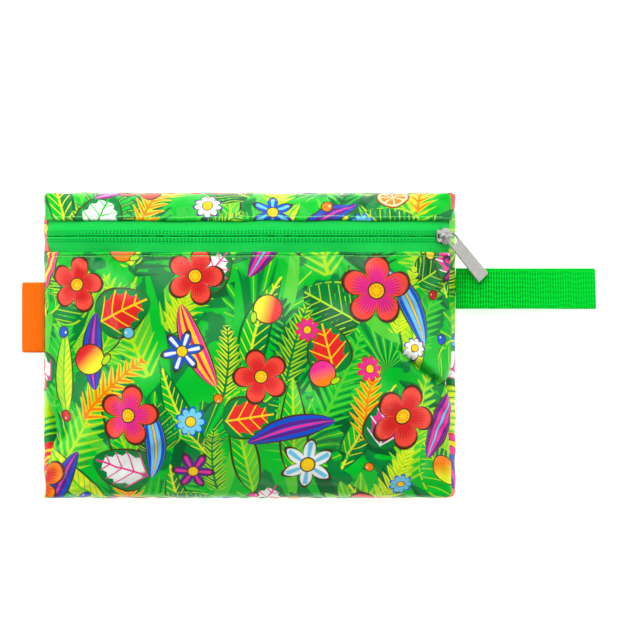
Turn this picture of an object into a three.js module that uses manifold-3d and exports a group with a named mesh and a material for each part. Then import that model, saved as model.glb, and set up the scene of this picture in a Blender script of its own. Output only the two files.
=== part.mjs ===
// A foldable duffel bag packed into its own zip pouch, lying on its back.
// Millimetres. +X runs along the zip, +Y towards the pouch's top edge and +Z out of the front panel.
// The origin is the middle of the face that the pouch lies on.
import * as THREE from "three";
import { mergeVertices } from "three/addons/utils/BufferGeometryUtils.js";
import Module from "manifold-3d";

const wasm = await Module();
wasm.setup();

// Driving dimensions of the pouch
const pouch = {
  width: 251,
  height: 185,
  thickness: 40,
  wall: 1.2,
  sideSeam: 18, // height of the seam between front and back at the sides
  endSeam: 13, // and along the top and bottom edges
  sideInset: 3, // the side seams lie this far inside the outline
  sideCrown: 8, // power of the front's rise from the side seams
  endCrown: 5, // power of the front's roll over the top and bottom edges
  cornerPull: 0.02, // share by which the corners are drawn in
  cornerPower: 14,
};
const seamGap = 0.45;
const halfHeight = pouch.height / 2;

// The zip lies across the front, below the top edge
const zip = {
  slitY: 66.3,
  upperEdgeY: 76,
  lowerEdgeY: 56.5,
  underHem: 5, // how far each tape reaches under its panel
  tapeThickness: 0.9,
  layerGap: 0.45,
  slitGap: 0.4,
  openGap: 2.4, // the tapes part this far round the slider's post
  coilWidth: 2.4,
  coilThickness: 1.6,
  tapeReach: 0.982, // shares of the way to the side seams
  coilReach: 0.97,
};

// Webbing loop, metal slider and pull, ribbon tag
const strap = { width: 25, thickness: 1.4, centreY: 34.6 };
const slider = {
  length: 12.4,
  rearWidth: 7.4,
  frontWidth: 10.4,
  plate: 1.6,
  bridgeWidth: 1.4,
  bridgeFoot: 0.9,
  bridgeBar: 1.1,
  bridgeClear: 3.2,
  centreX: 118.3,
};
const pull = {
  length: 34,
  width: 9,
  thickness: 1.2,
  bar: 1.3,
  eyeLength: 6,
  eyeWidth: 5.8,
  swing: -55, // degrees that the pull lies round from the zip's line
  lift: 17, // degrees that it lies clear of the slider's top
  roll: 12, // degrees that it lies over on its own length
  pivotAlong: 2.2,
  pivotAcross: 0.6,
};
const tag = { width: 43, reach: 13.2, centreY: 17, thickness: 1, layerGap: 0.5, rootHeight: 9.4, droop: 3.2 };

// Folds and dents of the front panel: place, direction in degrees, half sizes and depth. A ridge is negative.
const frontFolds = [
  { x: 111, y: -17, turn: -32, halfLength: 15, halfWidth: 5, depth: 3.2 },
  { x: 116, y: 35, turn: 46, halfLength: 13, halfWidth: 5.5, depth: 2.4 },
  { x: -119, y: -49, turn: 90, halfLength: 17, halfWidth: 7, depth: 4 },
  { x: -112, y: -60, turn: 58, halfLength: 16, halfWidth: 4.5, depth: -1.6 },
  { x: -101, y: -3, turn: 84, halfLength: 24, halfWidth: 10, depth: 2 },
  { x: 8, y: -80, turn: -42, halfLength: 13, halfWidth: 6, depth: -1.4 },
  { x: -74, y: -84, turn: 12, halfLength: 14, halfWidth: 5, depth: -1.2 },
  { x: 62, y: -70, turn: 25, halfLength: 26, halfWidth: 12, depth: 1.6 },
  { x: 98, y: -62, turn: 52, halfLength: 20, halfWidth: 7, depth: 1.8 },
  { x: -34, y: 4, turn: 22, halfLength: 52, halfWidth: 18, depth: 1.6 },
  { x: 52, y: 28, turn: -14, halfLength: 40, halfWidth: 13, depth: 1.3 },
  { x: -76, y: 40, turn: -38, halfLength: 24, halfWidth: 9, depth: 1.3 },
];

// Places where a side seam is drawn in, so that the wall behind it shows past it
const seamTucks = [
  { side: -1, y: -48, halfLength: 15, depth: 4.5 },
  { side: -1, y: 53, halfLength: 6, depth: 1.8 },
  { side: 1, y: -24, halfLength: 8, depth: 2.8 },
  { side: 1, y: -56, halfLength: 11, depth: 1.5 },
  { side: 1, y: 36, halfLength: 14, depth: 1.2 },
];

// The back's wall below the seam: share of the side's swell, inset and height. It ends in the flat face.
const backRings = [
  { swell: 0.6, inset: 0, z: 11.2 },
  { swell: 1, inset: 0, z: 8 },
  { swell: 1, inset: 1.2, z: 4.4 },
  { swell: 1, inset: 4.2, z: 1.6 },
  { swell: 1, inset: 9, z: 0.3 },
  { swell: 1, inset: 14, z: 0 },
  { swell: 1, inset: 52, z: 0 },
];
const endSwell = 0.6;
const floorHub = { x: 12, y: 7 }; // where the flat face's triangles meet

// The loop's centreline, its upper run out to the fold and its lower run back
const strapRoute = [
  { x: 126.2, z: 7.4 },
  { x: 128.8, z: 9.2 },
  { x: 133, z: 11.6 },
  { x: 138, z: 12.9 },
  { x: 145, z: 13.4 },
  { x: 153, z: 13.2 },
  { x: 162, z: 12.3 },
  { x: 174, z: 10.2 },
  { x: 187, z: 7.2 },
  { x: 199, z: 4.9 },
  { x: 206, z: 4.1 },
  { x: 209.6, z: 3.4 },
  { x: 209.8, z: 1.8 },
  { x: 206.4, z: 0.95 },
  { x: 196, z: 0.9 },
  { x: 180, z: 0.9 },
  { x: 164, z: 0.9 },
  { x: 150, z: 0.95 },
  { x: 140, z: 1.4 },
  { x: 133, z: 2.5 },
  { x: 128.2, z: 4.2 },
  { x: 126, z: 5.3 },
];

// Layers of the folded body from the floor up: middle height, reach to each end and half width
const bodyLayers = [
  { z: 4.3, fromY: -72, toY: 74, halfX: 104 },
  { z: 10.5, fromY: -80, toY: 80, halfX: 108 },
  { z: 16.7, fromY: -79, toY: 77, halfX: 106 },
  { z: 22.9, fromY: -74, toY: 68, halfX: 100 },
  { z: 29.1, fromY: -64, toY: 52, halfX: 88 },
];
const bodyLayerThickness = 5.4;

// Steps of the meshes
const acrossSteps = 30;
const sideSteps = 22;

const materials = {
  print: new THREE.MeshStandardMaterial({ color: 0x12b33a, roughness: 0.45, metalness: 0 }),
  tape: new THREE.MeshStandardMaterial({ color: 0x14cd50, roughness: 0.6, metalness: 0 }),
  coil: new THREE.MeshStandardMaterial({ color: 0x0fae40, roughness: 0.5, metalness: 0 }),
  webbing: new THREE.MeshStandardMaterial({ color: 0x00d230, roughness: 0.7, metalness: 0 }),
  ribbon: new THREE.MeshStandardMaterial({ color: 0xff7a00, roughness: 0.55, metalness: 0 }),
  metal: new THREE.MeshStandardMaterial({ color: 0xc9c8c4, roughness: 0.35, metalness: 1 }),
};

const range = (count, make) => Array.from({ length: count }, (_, i) => make(i));
const between = (from, to, steps) => range(steps + 1, (i) => from + ((to - from) * i) / steps);
const turnTo = (share) => Math.sin((share * Math.PI) / 2);
const turnFrom = (share) => (Math.asin(share) * 2) / Math.PI;
const alongAt = (y) => turnFrom(y / halfHeight);

// A long soft dent, 1 at its middle and fading to 0 past its half sizes.
function dentAt(fold, x, y) {
  const turn = THREE.MathUtils.degToRad(fold.turn);
  const dx = x - fold.x;
  const dy = y - fold.y;
  const along = (dx * Math.cos(turn) + dy * Math.sin(turn)) / fold.halfLength;
  const across = (dy * Math.cos(turn) - dx * Math.sin(turn)) / fold.halfWidth;
  return Math.exp(-(along ** 2) - across ** 2);
}

// Half width from the middle to the seam on one side, at height y of the front.
function seamHalfWidth(side, y) {
  const tucks = seamTucks.filter((tuck) => tuck.side === side);
  const drawn = tucks.reduce(
    (sum, tuck) => sum + tuck.depth * Math.exp(-(((y - tuck.y) / tuck.halfLength) ** 2)),
    0,
  );
  return pouch.width / 2 - pouch.sideInset - drawn;
}

// Outer surface of the front. Both parameters run from -1 to 1 and are eased, so that rows crowd at the rim.
function frontPoint(across, along) {
  const s = turnTo(across);
  const t = turnTo(along);
  const corner = 1 - pouch.cornerPull * Math.abs(s * t) ** pouch.cornerPower;
  const y = halfHeight * t * corner;
  const x = seamHalfWidth(s < 0 ? -1 : 1, y) * s * corner;
  const crown = (1 - Math.abs(s) ** pouch.sideCrown) * Math.sqrt(1 - Math.abs(t) ** pouch.endCrown);
  const fade = (1 - s ** 12) * (1 - t ** 12);
  const dents = frontFolds.reduce((sum, fold) => sum + fold.depth * dentAt(fold, x, y), 0);
  const sideShare = s ** 8 / (s ** 8 + t ** 8 + 0.02);
  const seam = pouch.endSeam + (pouch.sideSeam - pouch.endSeam) * sideShare;
  const z = seam + (pouch.thickness - seam) * crown - dents * fade;
  return new THREE.Vector3(x, y, z);
}

// Outward normal of the front, taken just inside the rim, where the surface has a direction.
function frontNormal(across, along) {
  const step = 0.01;
  const a = THREE.MathUtils.clamp(across, -0.985, 0.985);
  const b = THREE.MathUtils.clamp(along, -0.985, 0.985);
  const eastward = frontPoint(a + step, b).sub(frontPoint(a - step, b));
  const northward = frontPoint(a, b + step).sub(frontPoint(a, b - step));
  return eastward.cross(northward).normalize();
}

// A closed mesh from a list of points and of faces with three or four corners, turned to face out.
function closedGeometry(points, faces) {
  const triangles = faces.flatMap((f) => (f.length === 4 ? [f[0], f[1], f[2], f[0], f[2], f[3]] : f));
  let volume = 0;
  for (let i = 0; i < triangles.length; i += 3) {
    const [a, b, c] = [0, 1, 2].map((k) => points[triangles[i + k]]);
    volume += a.dot(b.clone().cross(c));
  }
  if (volume < 0) triangles.reverse();
  const geometry = new THREE.BufferGeometry().setFromPoints(points);
  geometry.setIndex(triangles);
  geometry.computeVertexNormals();
  return geometry;
}

// A sheet with a thickness: rows of { point, normal } on its outer face, closed all round.
function sheetGeometry(rows, thickness, loop = false) {
  const count = rows[0].length;
  const outer = rows.flat().map(({ point }) => point);
  const inner = rows.flat().map(({ point, normal }) => point.clone().addScaledVector(normal, -thickness));
  const at = (row, column, layer) => layer * outer.length + row * count + (column % count);
  const columns = loop ? count : count - 1;
  const faces = [];
  for (let r = 0; r + 1 < rows.length; r++) {
    for (let c = 0; c < columns; c++) {
      faces.push([at(r, c, 0), at(r, c + 1, 0), at(r + 1, c + 1, 0), at(r + 1, c, 0)]);
      faces.push([at(r, c, 1), at(r + 1, c, 1), at(r + 1, c + 1, 1), at(r, c + 1, 1)]);
    }
  }
  const last = rows.length - 1;
  for (let c = 0; c < columns; c++) {
    faces.push([at(0, c, 0), at(0, c, 1), at(0, c + 1, 1), at(0, c + 1, 0)]);
    if (!loop) faces.push([at(last, c, 0), at(last, c + 1, 0), at(last, c + 1, 1), at(last, c, 1)]);
  }
  if (!loop) {
    for (let r = 0; r < last; r++) {
      faces.push([at(r, 0, 0), at(r + 1, 0, 0), at(r + 1, 0, 1), at(r, 0, 1)]);
      faces.push([at(r, count - 1, 0), at(r, count - 1, 1), at(r + 1, count - 1, 1), at(r + 1, count - 1, 0)]);
    }
  }
  return { points: [...outer, ...inner], faces, last, at };
}

// A strip of the front between two lines y(across), sunk below the front's own surface. It reaches a share of
// the way to the side seams.
function frontStrip({ fromY, toY, steps, sunk, thickness, reach }) {
  const end = turnFrom(reach);
  const rows = between(0, 1, steps).map((share) =>
    between(-end, end, acrossSteps).map((across) => {
      const from = alongAt(fromY(across));
      const along = from + (alongAt(toY(across)) - from) * share;
      const normal = frontNormal(across, along);
      return { point: frontPoint(across, along).addScaledVector(normal, -sunk), normal };
    }),
  );
  const { points, faces } = sheetGeometry(rows, thickness);
  return closedGeometry(points, faces);
}

const level = (y) => () => y;

function frontPanel(fromY, toY, steps) {
  return frontStrip({ fromY: level(fromY), toY: level(toY), steps, sunk: 0, thickness: pouch.wall, reach: 1 });
}

// Half the gap between the tapes, which opens round the slider's post at the right end.
function slitHalfGap(across) {
  const x = turnTo(across) * (pouch.width / 2 - pouch.sideInset);
  const open = THREE.MathUtils.smoothstep(x, slider.centreX - 4, slider.centreX + 2);
  return (zip.slitGap + (zip.openGap - zip.slitGap) * open) / 2;
}

function zipTape(side) {
  const hemY = side > 0 ? zip.upperEdgeY + zip.underHem : zip.lowerEdgeY - zip.underHem;
  const slit = (across) => zip.slitY + side * slitHalfGap(across);
  return frontStrip({
    fromY: slit,
    toY: level(hemY),
    steps: 2,
    sunk: pouch.wall + zip.layerGap,
    thickness: zip.tapeThickness,
    reach: zip.tapeReach,
  });
}

function zipCoil(side) {
  const near = (across) => zip.slitY + side * slitHalfGap(across);
  const far = (across) => near(across) + side * zip.coilWidth;
  return frontStrip({
    fromY: near,
    toY: far,
    steps: 1,
    sunk: pouch.wall + zip.tapeThickness + 2 * zip.layerGap,
    thickness: zip.coilThickness,
    reach: zip.coilReach,
  });
}

// The front's edge all round, anticlockwise from the lower left corner.
function rimLoop() {
  const xs = between(-1, 1, acrossSteps).slice(0, -1);
  const ys = between(-1, 1, sideSteps).slice(0, -1);
  return [
    ...xs.map((v) => [v, -1]),
    ...ys.map((v) => [1, v]),
    ...xs.map((v) => [-v, 1]),
    ...ys.map((v) => [-1, -v]),
  ];
}

// Back and side walls: rings from the seam down to the floor, then a flat face.
function backPanel() {
  const rim = rimLoop();
  const tucked = rim.map(([across, along]) =>
    frontPoint(across, along).addScaledVector(frontNormal(across, along), -pouch.wall - seamGap),
  );
  const lower = backRings.map((ring) =>
    rim.map(([across, along]) => {
      const s = turnTo(across);
      const t = turnTo(along);
      const edge = frontPoint(across, along);
      const sideSwell = pouch.width / 2 - seamHalfWidth(s < 0 ? -1 : 1, edge.y);
      const x = edge.x + Math.sign(s) * s ** 6 * sideSwell * ring.swell;
      const y = edge.y + Math.sign(t) * t ** 6 * endSwell * ring.swell;
      const shrinkX = 1 - ring.inset / (pouch.width / 2);
      const shrinkY = 1 - ring.inset / halfHeight;
      return new THREE.Vector3(x * shrinkX, y * shrinkY, ring.z);
    }),
  );
  const rings = [tucked, ...lower];
  const count = rim.length;
  const rows = rings.map((ring, r) =>
    ring.map((point, c) => {
      const around = ring[(c + 1) % count].clone().sub(ring[(c + count - 1) % count]);
      const down = rings[Math.min(r + 1, rings.length - 1)][c].clone().sub(rings[Math.max(r - 1, 0)][c]);
      const normal = r + 2 < rings.length ? down.cross(around).normalize() : new THREE.Vector3(0, 0, -1);
      return { point, normal };
    }),
  );
  const { points, faces, last, at } = sheetGeometry(rows, pouch.wall, true);
  const outerHub = points.push(new THREE.Vector3(floorHub.x, floorHub.y, 0)) - 1;
  const innerHub = points.push(new THREE.Vector3(floorHub.x, floorHub.y, pouch.wall)) - 1;
  for (let c = 0; c < count; c++) {
    faces.push([at(last, c, 0), at(last, c + 1, 0), outerHub]);
    faces.push([at(last, c + 1, 1), at(last, c, 1), innerHub]);
  }
  return closedGeometry(points, faces);
}

// A band of even width along a route in the XZ plane, centred on its thickness.
function bandGeometry(route, thickness, fromY, toY, stepsY) {
  const rows = route.map((point, i) => {
    const ahead = route[Math.min(i + 1, route.length - 1)].clone().sub(route[Math.max(i - 1, 0)]);
    const normal = new THREE.Vector3(-ahead.z, 0, ahead.x).normalize();
    return between(fromY, toY, stepsY).map((y) => ({
      point: new THREE.Vector3(point.x, y, point.z).addScaledVector(normal, thickness / 2),
      normal,
    }));
  });
  const { points, faces } = sheetGeometry(rows, thickness);
  return closedGeometry(points, faces);
}

function strapLoop() {
  const knots = strapRoute.map(({ x, z }) => new THREE.Vector3(x, 0, z));
  const route = new THREE.CatmullRomCurve3(knots, false, "centripetal").getSpacedPoints(46);
  const half = strap.width / 2;
  return bandGeometry(route, strap.thickness, strap.centreY - half, strap.centreY + half, 2);
}

// The ribbon leaves the left seam, folds back on itself and returns.
function sideTag() {
  const rootX = -(pouch.width / 2) - seamGap;
  const tipX = -(pouch.width / 2) - tag.reach;
  const apart = (tag.thickness + tag.layerGap) / 2;
  const upperRun = between(rootX, tipX + apart, 4).map((x) => ({ x, lift: apart }));
  const fold = between(90, 270, 6).slice(1, -1).map((degrees) => {
    const angle = THREE.MathUtils.degToRad(degrees);
    return { x: tipX + apart + apart * Math.cos(angle), lift: apart * Math.sin(angle) };
  });
  const lowerRun = upperRun.map(({ x }) => ({ x, lift: -apart })).reverse();
  const height = (x) => tag.rootHeight - tag.droop * ((x - rootX) / (tipX - rootX)) ** 2;
  const route = [...upperRun, ...fold, ...lowerRun].map(
    ({ x, lift }) => new THREE.Vector3(x, 0, height(Math.max(x, tipX + apart)) + lift),
  );
  const half = tag.width / 2;
  return bandGeometry(route, tag.thickness, tag.centreY - half, tag.centreY + half, 2);
}

// The body lies folded to and fro in layers, each joined to the next by a round fold.
function packedBody() {
  const foldSteps = 5;
  const path = [];
  bodyLayers.forEach((layer, k) => {
    const ends = k % 2 ? [layer.toY, layer.fromY] : [layer.fromY, layer.toY];
    between(ends[0], ends[1], 4).forEach((y) => path.push({ y, z: layer.z, halfX: layer.halfX }));
    const next = bodyLayers[k + 1];
    if (!next) return;
    const outward = Math.sign(ends[1]);
    const nextY = k % 2 ? next.fromY : next.toY;
    between(0, 1, foldSteps).slice(1, -1).forEach((share) => {
      const angle = (share - 0.5) * Math.PI;
      const radius = (next.z - layer.z) / 2;
      path.push({
        y: ends[1] + (nextY - ends[1]) * share + outward * radius * Math.cos(angle),
        z: (layer.z + next.z) / 2 + radius * Math.sin(angle),
        halfX: layer.halfX + (next.halfX - layer.halfX) * share,
      });
    });
  });
  const rows = path.map((p, i) => {
    const before = path[Math.max(i - 1, 0)];
    const after = path[Math.min(i + 1, path.length - 1)];
    const normal = new THREE.Vector3(0, -(after.z - before.z), after.y - before.y).normalize();
    return between(-1, 1, 6).map((share) => ({
      point: new THREE.Vector3(p.halfX * share, p.y, p.z).addScaledVector(normal, bodyLayerThickness / 2),
      normal,
    }));
  });
  const { points, faces } = sheetGeometry(rows, bodyLayerThickness);
  return closedGeometry(points, faces);
}

// A three.js geometry as a solid that can be joined, and back again.
function solidOf(geometry) {
  const bare = geometry.index ? geometry.toNonIndexed() : geometry.clone();
  bare.deleteAttribute("normal");
  bare.deleteAttribute("uv");
  const merged = mergeVertices(bare, 1e-4);
  return new wasm.Manifold(
    new wasm.Mesh({
      numProp: 3,
      vertProperties: new Float32Array(merged.attributes.position.array),
      triVerts: new Uint32Array(merged.index.array),
    }),
  );
}

function geometryOf(solid) {
  const mesh = solid.getMesh();
  const geometry = new THREE.BufferGeometry();
  geometry.setAttribute("position", new THREE.BufferAttribute(new Float32Array(mesh.vertProperties), 3));
  geometry.setIndex(new THREE.BufferAttribute(new Uint32Array(mesh.triVerts), 1));
  geometry.computeVertexNormals();
  return geometry;
}

const extruded = (shape, depth, curveSegments) =>
  new THREE.ExtrudeGeometry(shape, { depth, bevelEnabled: false, curveSegments });

// Plan of the slider's plates: narrow over the closed chain, with round shoulders in front.
function sliderPlan() {
  const rear = -slider.length / 2;
  const front = slider.length / 2;
  const narrow = slider.rearWidth / 2;
  const wide = slider.frontWidth / 2;
  const plan = new THREE.Shape();
  plan.moveTo(rear, -narrow);
  plan.lineTo(rear + 4, -narrow);
  plan.quadraticCurveTo(rear + 4.6, -wide, rear + 7, -wide);
  plan.quadraticCurveTo(front - 1, -wide, front, -narrow * 0.6);
  plan.lineTo(front, narrow * 0.6);
  plan.quadraticCurveTo(front - 1, wide, rear + 7, wide);
  plan.quadraticCurveTo(rear + 4.6, wide, rear + 4, narrow);
  plan.lineTo(rear, narrow);
  plan.closePath();
  return plan;
}

// Side view of the bridge: a bar on two feet, with round shoulders.
function bridgeSide() {
  const reach = 5;
  const top = slider.bridgeClear + slider.bridgeBar;
  const foot = slider.bridgeFoot;
  const side = new THREE.Shape();
  side.moveTo(-reach, -0.2);
  side.lineTo(-reach, top - 1);
  side.quadraticCurveTo(-reach, top, -reach + 1, top);
  side.lineTo(reach - 1, top);
  side.quadraticCurveTo(reach, top, reach, top - 1);
  side.lineTo(reach, -0.2);
  side.lineTo(reach - foot, -0.2);
  side.lineTo(reach - foot, slider.bridgeClear - 0.6);
  side.quadraticCurveTo(reach - foot, slider.bridgeClear, reach - foot - 0.6, slider.bridgeClear);
  side.lineTo(-reach + foot + 0.6, slider.bridgeClear);
  side.quadraticCurveTo(-reach + foot, slider.bridgeClear, -reach + foot, slider.bridgeClear - 0.6);
  side.lineTo(-reach + foot, -0.2);
  side.closePath();
  return side;
}

const sliderPlateBase = 0.3; // the top plate rides this far above the tape
const sliderTop = sliderPlateBase + slider.plate;

function sliderGeometry() {
  const chainDepth = zip.tapeThickness + zip.layerGap + zip.coilThickness + 0.9;
  const lowerPlate = 1;
  const top = extruded(sliderPlan(), slider.plate, 5).translate(0, 0, sliderPlateBase);
  const bottom = extruded(sliderPlan(), lowerPlate, 5).translate(0, 0, -chainDepth - lowerPlate);
  const post = new THREE.BoxGeometry(2.2, 1.3, chainDepth + 1).translate(3.6, 0, -chainDepth / 2 + 0.2);
  const bridge = extruded(bridgeSide(), slider.bridgeWidth, 4)
    .rotateX(Math.PI / 2)
    .translate(0, slider.bridgeWidth / 2, sliderTop);
  const solid = [bottom, post, bridge].reduce((sum, g) => sum.add(solidOf(g)), solidOf(top));
  return geometryOf(solid);
}

// Flat pull along +X from the middle of the bar that passes under the bridge.
function pullGeometry() {
  const half = pull.width / 2;
  const end = -pull.bar / 2;
  const round = 2.6;
  const tip = 0.8;
  const outline = new THREE.Shape();
  outline.moveTo(end + round, -half);
  outline.lineTo(pull.length - tip, -half);
  outline.quadraticCurveTo(pull.length, -half, pull.length, -half + tip);
  outline.lineTo(pull.length, half - tip);
  outline.quadraticCurveTo(pull.length, half, pull.length - tip, half);
  outline.lineTo(end + round, half);
  outline.quadraticCurveTo(end, half, end, half - round);
  outline.lineTo(end, -half + round);
  outline.quadraticCurveTo(end, -half, end + round, -half);
  const eyeHalf = pull.eyeWidth / 2;
  const near = pull.bar / 2;
  const far = near + pull.eyeLength;
  const eye = new THREE.Path();
  eye.moveTo(near + 0.8, -eyeHalf);
  eye.lineTo(far - 2, -eyeHalf);
  eye.quadraticCurveTo(far, -eyeHalf, far, 0);
  eye.quadraticCurveTo(far, eyeHalf, far - 2, eyeHalf);
  eye.lineTo(near + 0.8, eyeHalf);
  eye.quadraticCurveTo(near, eyeHalf, near, eyeHalf - 0.8);
  eye.lineTo(near, -eyeHalf + 0.8);
  eye.quadraticCurveTo(near, -eyeHalf, near + 0.8, -eyeHalf);
  outline.holes.push(eye);
  return extruded(outline, pull.thickness, 4).translate(0, 0, -pull.thickness / 2);
}

// The slider sits on the tape, its own +X down the zip towards the right seam and its +Z out of the cloth.
function sliderGroup() {
  const along = alongAt(zip.slitY);
  const across = turnFrom(slider.centreX / seamHalfWidth(1, zip.slitY));
  const normal = frontNormal(across, along);
  const east = frontPoint(across + 0.01, along).sub(frontPoint(across - 0.01, along)).normalize();
  const north = normal.clone().cross(east).normalize();
  const group = new THREE.Group();
  group.setRotationFromMatrix(new THREE.Matrix4().makeBasis(east, north, normal));
  group.position.copy(frontPoint(across, along)).addScaledVector(normal, -pouch.wall - zip.layerGap);
  group.add(named("zip_slider", sliderGeometry(), materials.metal));

  const swing = new THREE.Group();
  swing.position.set(pull.pivotAlong, pull.pivotAcross, sliderTop + slider.bridgeClear / 2);
  const [roll, lift, round] = [pull.roll, -pull.lift, pull.swing].map(THREE.MathUtils.degToRad);
  swing.rotation.set(roll, lift, round, "ZYX");
  swing.add(named("zip_pull", pullGeometry(), materials.metal));
  group.add(swing);
  return group;
}

function named(name, geometry, material) {
  const mesh = new THREE.Mesh(geometry, material);
  mesh.name = name;
  return mesh;
}

const bag = new THREE.Group();
bag.add(
  named("back_panel", backPanel(), materials.print),
  named("front_lower_panel", frontPanel(-halfHeight, zip.lowerEdgeY, 17), materials.print),
  named("front_upper_panel", frontPanel(zip.upperEdgeY, halfHeight, 5), materials.print),
  named("zip_tape_upper", zipTape(1), materials.tape),
  named("zip_tape_lower", zipTape(-1), materials.tape),
  named("zip_coil_upper", zipCoil(1), materials.coil),
  named("zip_coil_lower", zipCoil(-1), materials.coil),
  named("strap_loop", strapLoop(), materials.webbing),
  named("side_tag", sideTag(), materials.ribbon),
  named("packed_body", packedBody(), materials.print),
  sliderGroup(),
);

export default bag;
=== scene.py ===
import math

import bpy
import numpy as np
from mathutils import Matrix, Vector


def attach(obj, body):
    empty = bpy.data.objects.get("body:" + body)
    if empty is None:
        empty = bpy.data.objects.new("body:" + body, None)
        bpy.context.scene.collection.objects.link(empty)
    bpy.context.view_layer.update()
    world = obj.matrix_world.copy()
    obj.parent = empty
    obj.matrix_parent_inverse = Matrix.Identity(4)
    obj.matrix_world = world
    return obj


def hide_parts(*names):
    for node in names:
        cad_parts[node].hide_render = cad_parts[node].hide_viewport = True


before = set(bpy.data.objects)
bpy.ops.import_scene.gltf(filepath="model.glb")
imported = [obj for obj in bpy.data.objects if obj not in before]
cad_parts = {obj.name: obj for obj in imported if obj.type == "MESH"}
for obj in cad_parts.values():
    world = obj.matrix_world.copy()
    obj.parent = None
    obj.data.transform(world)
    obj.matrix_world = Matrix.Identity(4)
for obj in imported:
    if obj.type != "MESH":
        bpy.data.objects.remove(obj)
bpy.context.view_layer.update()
mm = 0.001  # sizes below are in millimetres, meshes in metres
print("frame loaded:", len(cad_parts), "nodes")


# Number helpers

def unit(vectors):
    # each vector divided by its own length
    return vectors / np.maximum(np.linalg.norm(vectors, axis=-1, keepdims=True), 1e-9)


def stepUp(x, low, high):
    # 0 below low, 1 above high, eased between them
    share = np.clip((x - low) / (high - low), 0, 1)
    return share * share * (3 - 2 * share)


def hump(x, middle, halfWidth):
    # a bell, 1 at the middle and fading past its half width
    return np.exp(-(((x - middle) / halfWidth) ** 2))


def throughTable(x, knots, values):
    # cubic through the rows of a table; the slope at a row comes from the rows beside it
    knots, values = np.asarray(knots, float), np.asarray(values, float)
    slopes = np.gradient(values, knots)
    i = np.clip(np.searchsorted(knots, x) - 1, 0, len(knots) - 2)
    width = knots[i + 1] - knots[i]
    t = (x - knots[i]) / width
    rise = t * t * (3 - 2 * t)
    swing = slopes[i] * t * (1 - t) ** 2 - slopes[i + 1] * t * t * (1 - t)
    return values[i] * (1 - rise) + values[i + 1] * rise + width * swing


def gridNormals(grid):
    # cross product of the grid's two directions
    down, right = np.gradient(grid, axis=(0, 1))
    return unit(np.cross(right, down))


def runLength(points):
    # length along a line of points, from its first to each of them
    return np.concatenate([[0], np.cumsum(np.linalg.norm(np.diff(points, axis=0), axis=1))])


def cosSin(degrees):
    angle = math.radians(degrees)
    return math.cos(angle), math.sin(angle)


# Mesh helpers

def gridQuads(rows, cols, loopCols=False, loopRows=False):
    # corners of each cell of a grid, anticlockwise seen from the side that right x up points to
    r = np.arange(rows if loopRows else rows - 1)[:, None]
    c = np.arange(cols if loopCols else cols - 1)[None, :]
    r2, c2 = (r + 1) % rows, (c + 1) % cols
    corners = (r * cols + c, r * cols + c2, r2 * cols + c2, r2 * cols + c)
    return np.stack(np.broadcast_arrays(*corners), -1).reshape(-1, 4)


def closedSheet(outer, inner):
    # two grids facing apart, with a strip of cells that joins their edges all round
    rows, cols = outer.shape[:2]
    count = rows * cols
    index = np.arange(count).reshape(rows, cols)
    edge = np.concatenate([index[0, :-1], index[:-1, -1], index[-1, :0:-1], index[:0:-1, 0]])
    ahead = np.roll(edge, -1)
    face = gridQuads(rows, cols)
    rim = np.stack([ahead, edge, edge + count, ahead + count], -1)
    points = np.concatenate([outer.reshape(-1, 3), inner.reshape(-1, 3)])
    return points, np.concatenate([face, face[:, ::-1] + count, rim])


def ringStacks(rings):
    # n stacks of k rings: walls between neighbouring rings and a lid on each end
    n, k, sides = rings.shape[:3]
    first = (np.arange(n) * k * sides)[:, None]
    walls = (gridQuads(k, sides, loopCols=True)[None] + first[:, :, None]).reshape(-1, 4)
    start = first + np.arange(sides)[None, ::-1]
    end = first + (k - 1) * sides + np.arange(sides)[None]
    return rings.reshape(-1, 3), [walls, start, end]


def tubes(paths, ups, wide, tall, sides, square=1.0):
    # n paths of k points: at each point an oval of given half sizes, across and along its up direction
    n, k = paths.shape[:2]
    ahead = unit(np.gradient(paths, axis=1))
    across = unit(np.cross(ahead, ups))[:, :, None]
    up = np.cross(across, ahead[:, :, None])
    turn = -np.arange(sides) * 2 * np.pi / sides
    c, s = (np.sign(f) * np.abs(f) ** square for f in (np.cos(turn), np.sin(turn)))
    wide = np.broadcast_to(wide, (n, k))[:, :, None, None]
    tall = np.broadcast_to(tall, (n, k))[:, :, None, None]
    return ringStacks(paths[:, :, None] + wide * c[:, None] * across + tall * s[:, None] * up)


def joinParts(*parts):
    # several meshes as one: points one after another, faces counted on
    points, faces, count = [], [], 0
    for corners, cells in parts:
        cells = cells if isinstance(cells, list) else [cells]
        faces += [group + count for group in cells]
        points.append(corners)
        count += len(corners)
    return np.concatenate(points), faces


def cornerPoints(mesh):
    # which point each corner of each face has
    corner = np.zeros(len(mesh.loops), np.int32)
    mesh.loops.foreach_get("vertex_index", corner)
    return corner


def newObject(name, data):
    thing = bpy.data.objects.new(name, data)
    bpy.context.scene.collection.objects.link(thing)
    return thing


def makePiece(name, points, faces, material, replaces=(), body="pouch", uv=None):
    # a smooth mesh at the origin that rides on a body; uv is a pair of numbers for each point
    faces = faces if isinstance(faces, list) else [faces]
    mesh = bpy.data.meshes.new(name)
    mesh.from_pydata((points * mm).tolist(), [], [f for group in faces for f in group.tolist()])
    mesh.polygons.foreach_set("use_smooth", np.ones(len(mesh.polygons), bool))
    if uv is not None:
        layer = mesh.uv_layers.new(name="cut")
        layer.data.foreach_set("uv", uv[cornerPoints(mesh)].astype(np.float32).ravel())
    mesh.materials.append(material)
    mesh.update()
    piece = newObject(name, mesh)
    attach(piece, body)
    if replaces:
        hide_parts(*replaces)
    return piece


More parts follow.
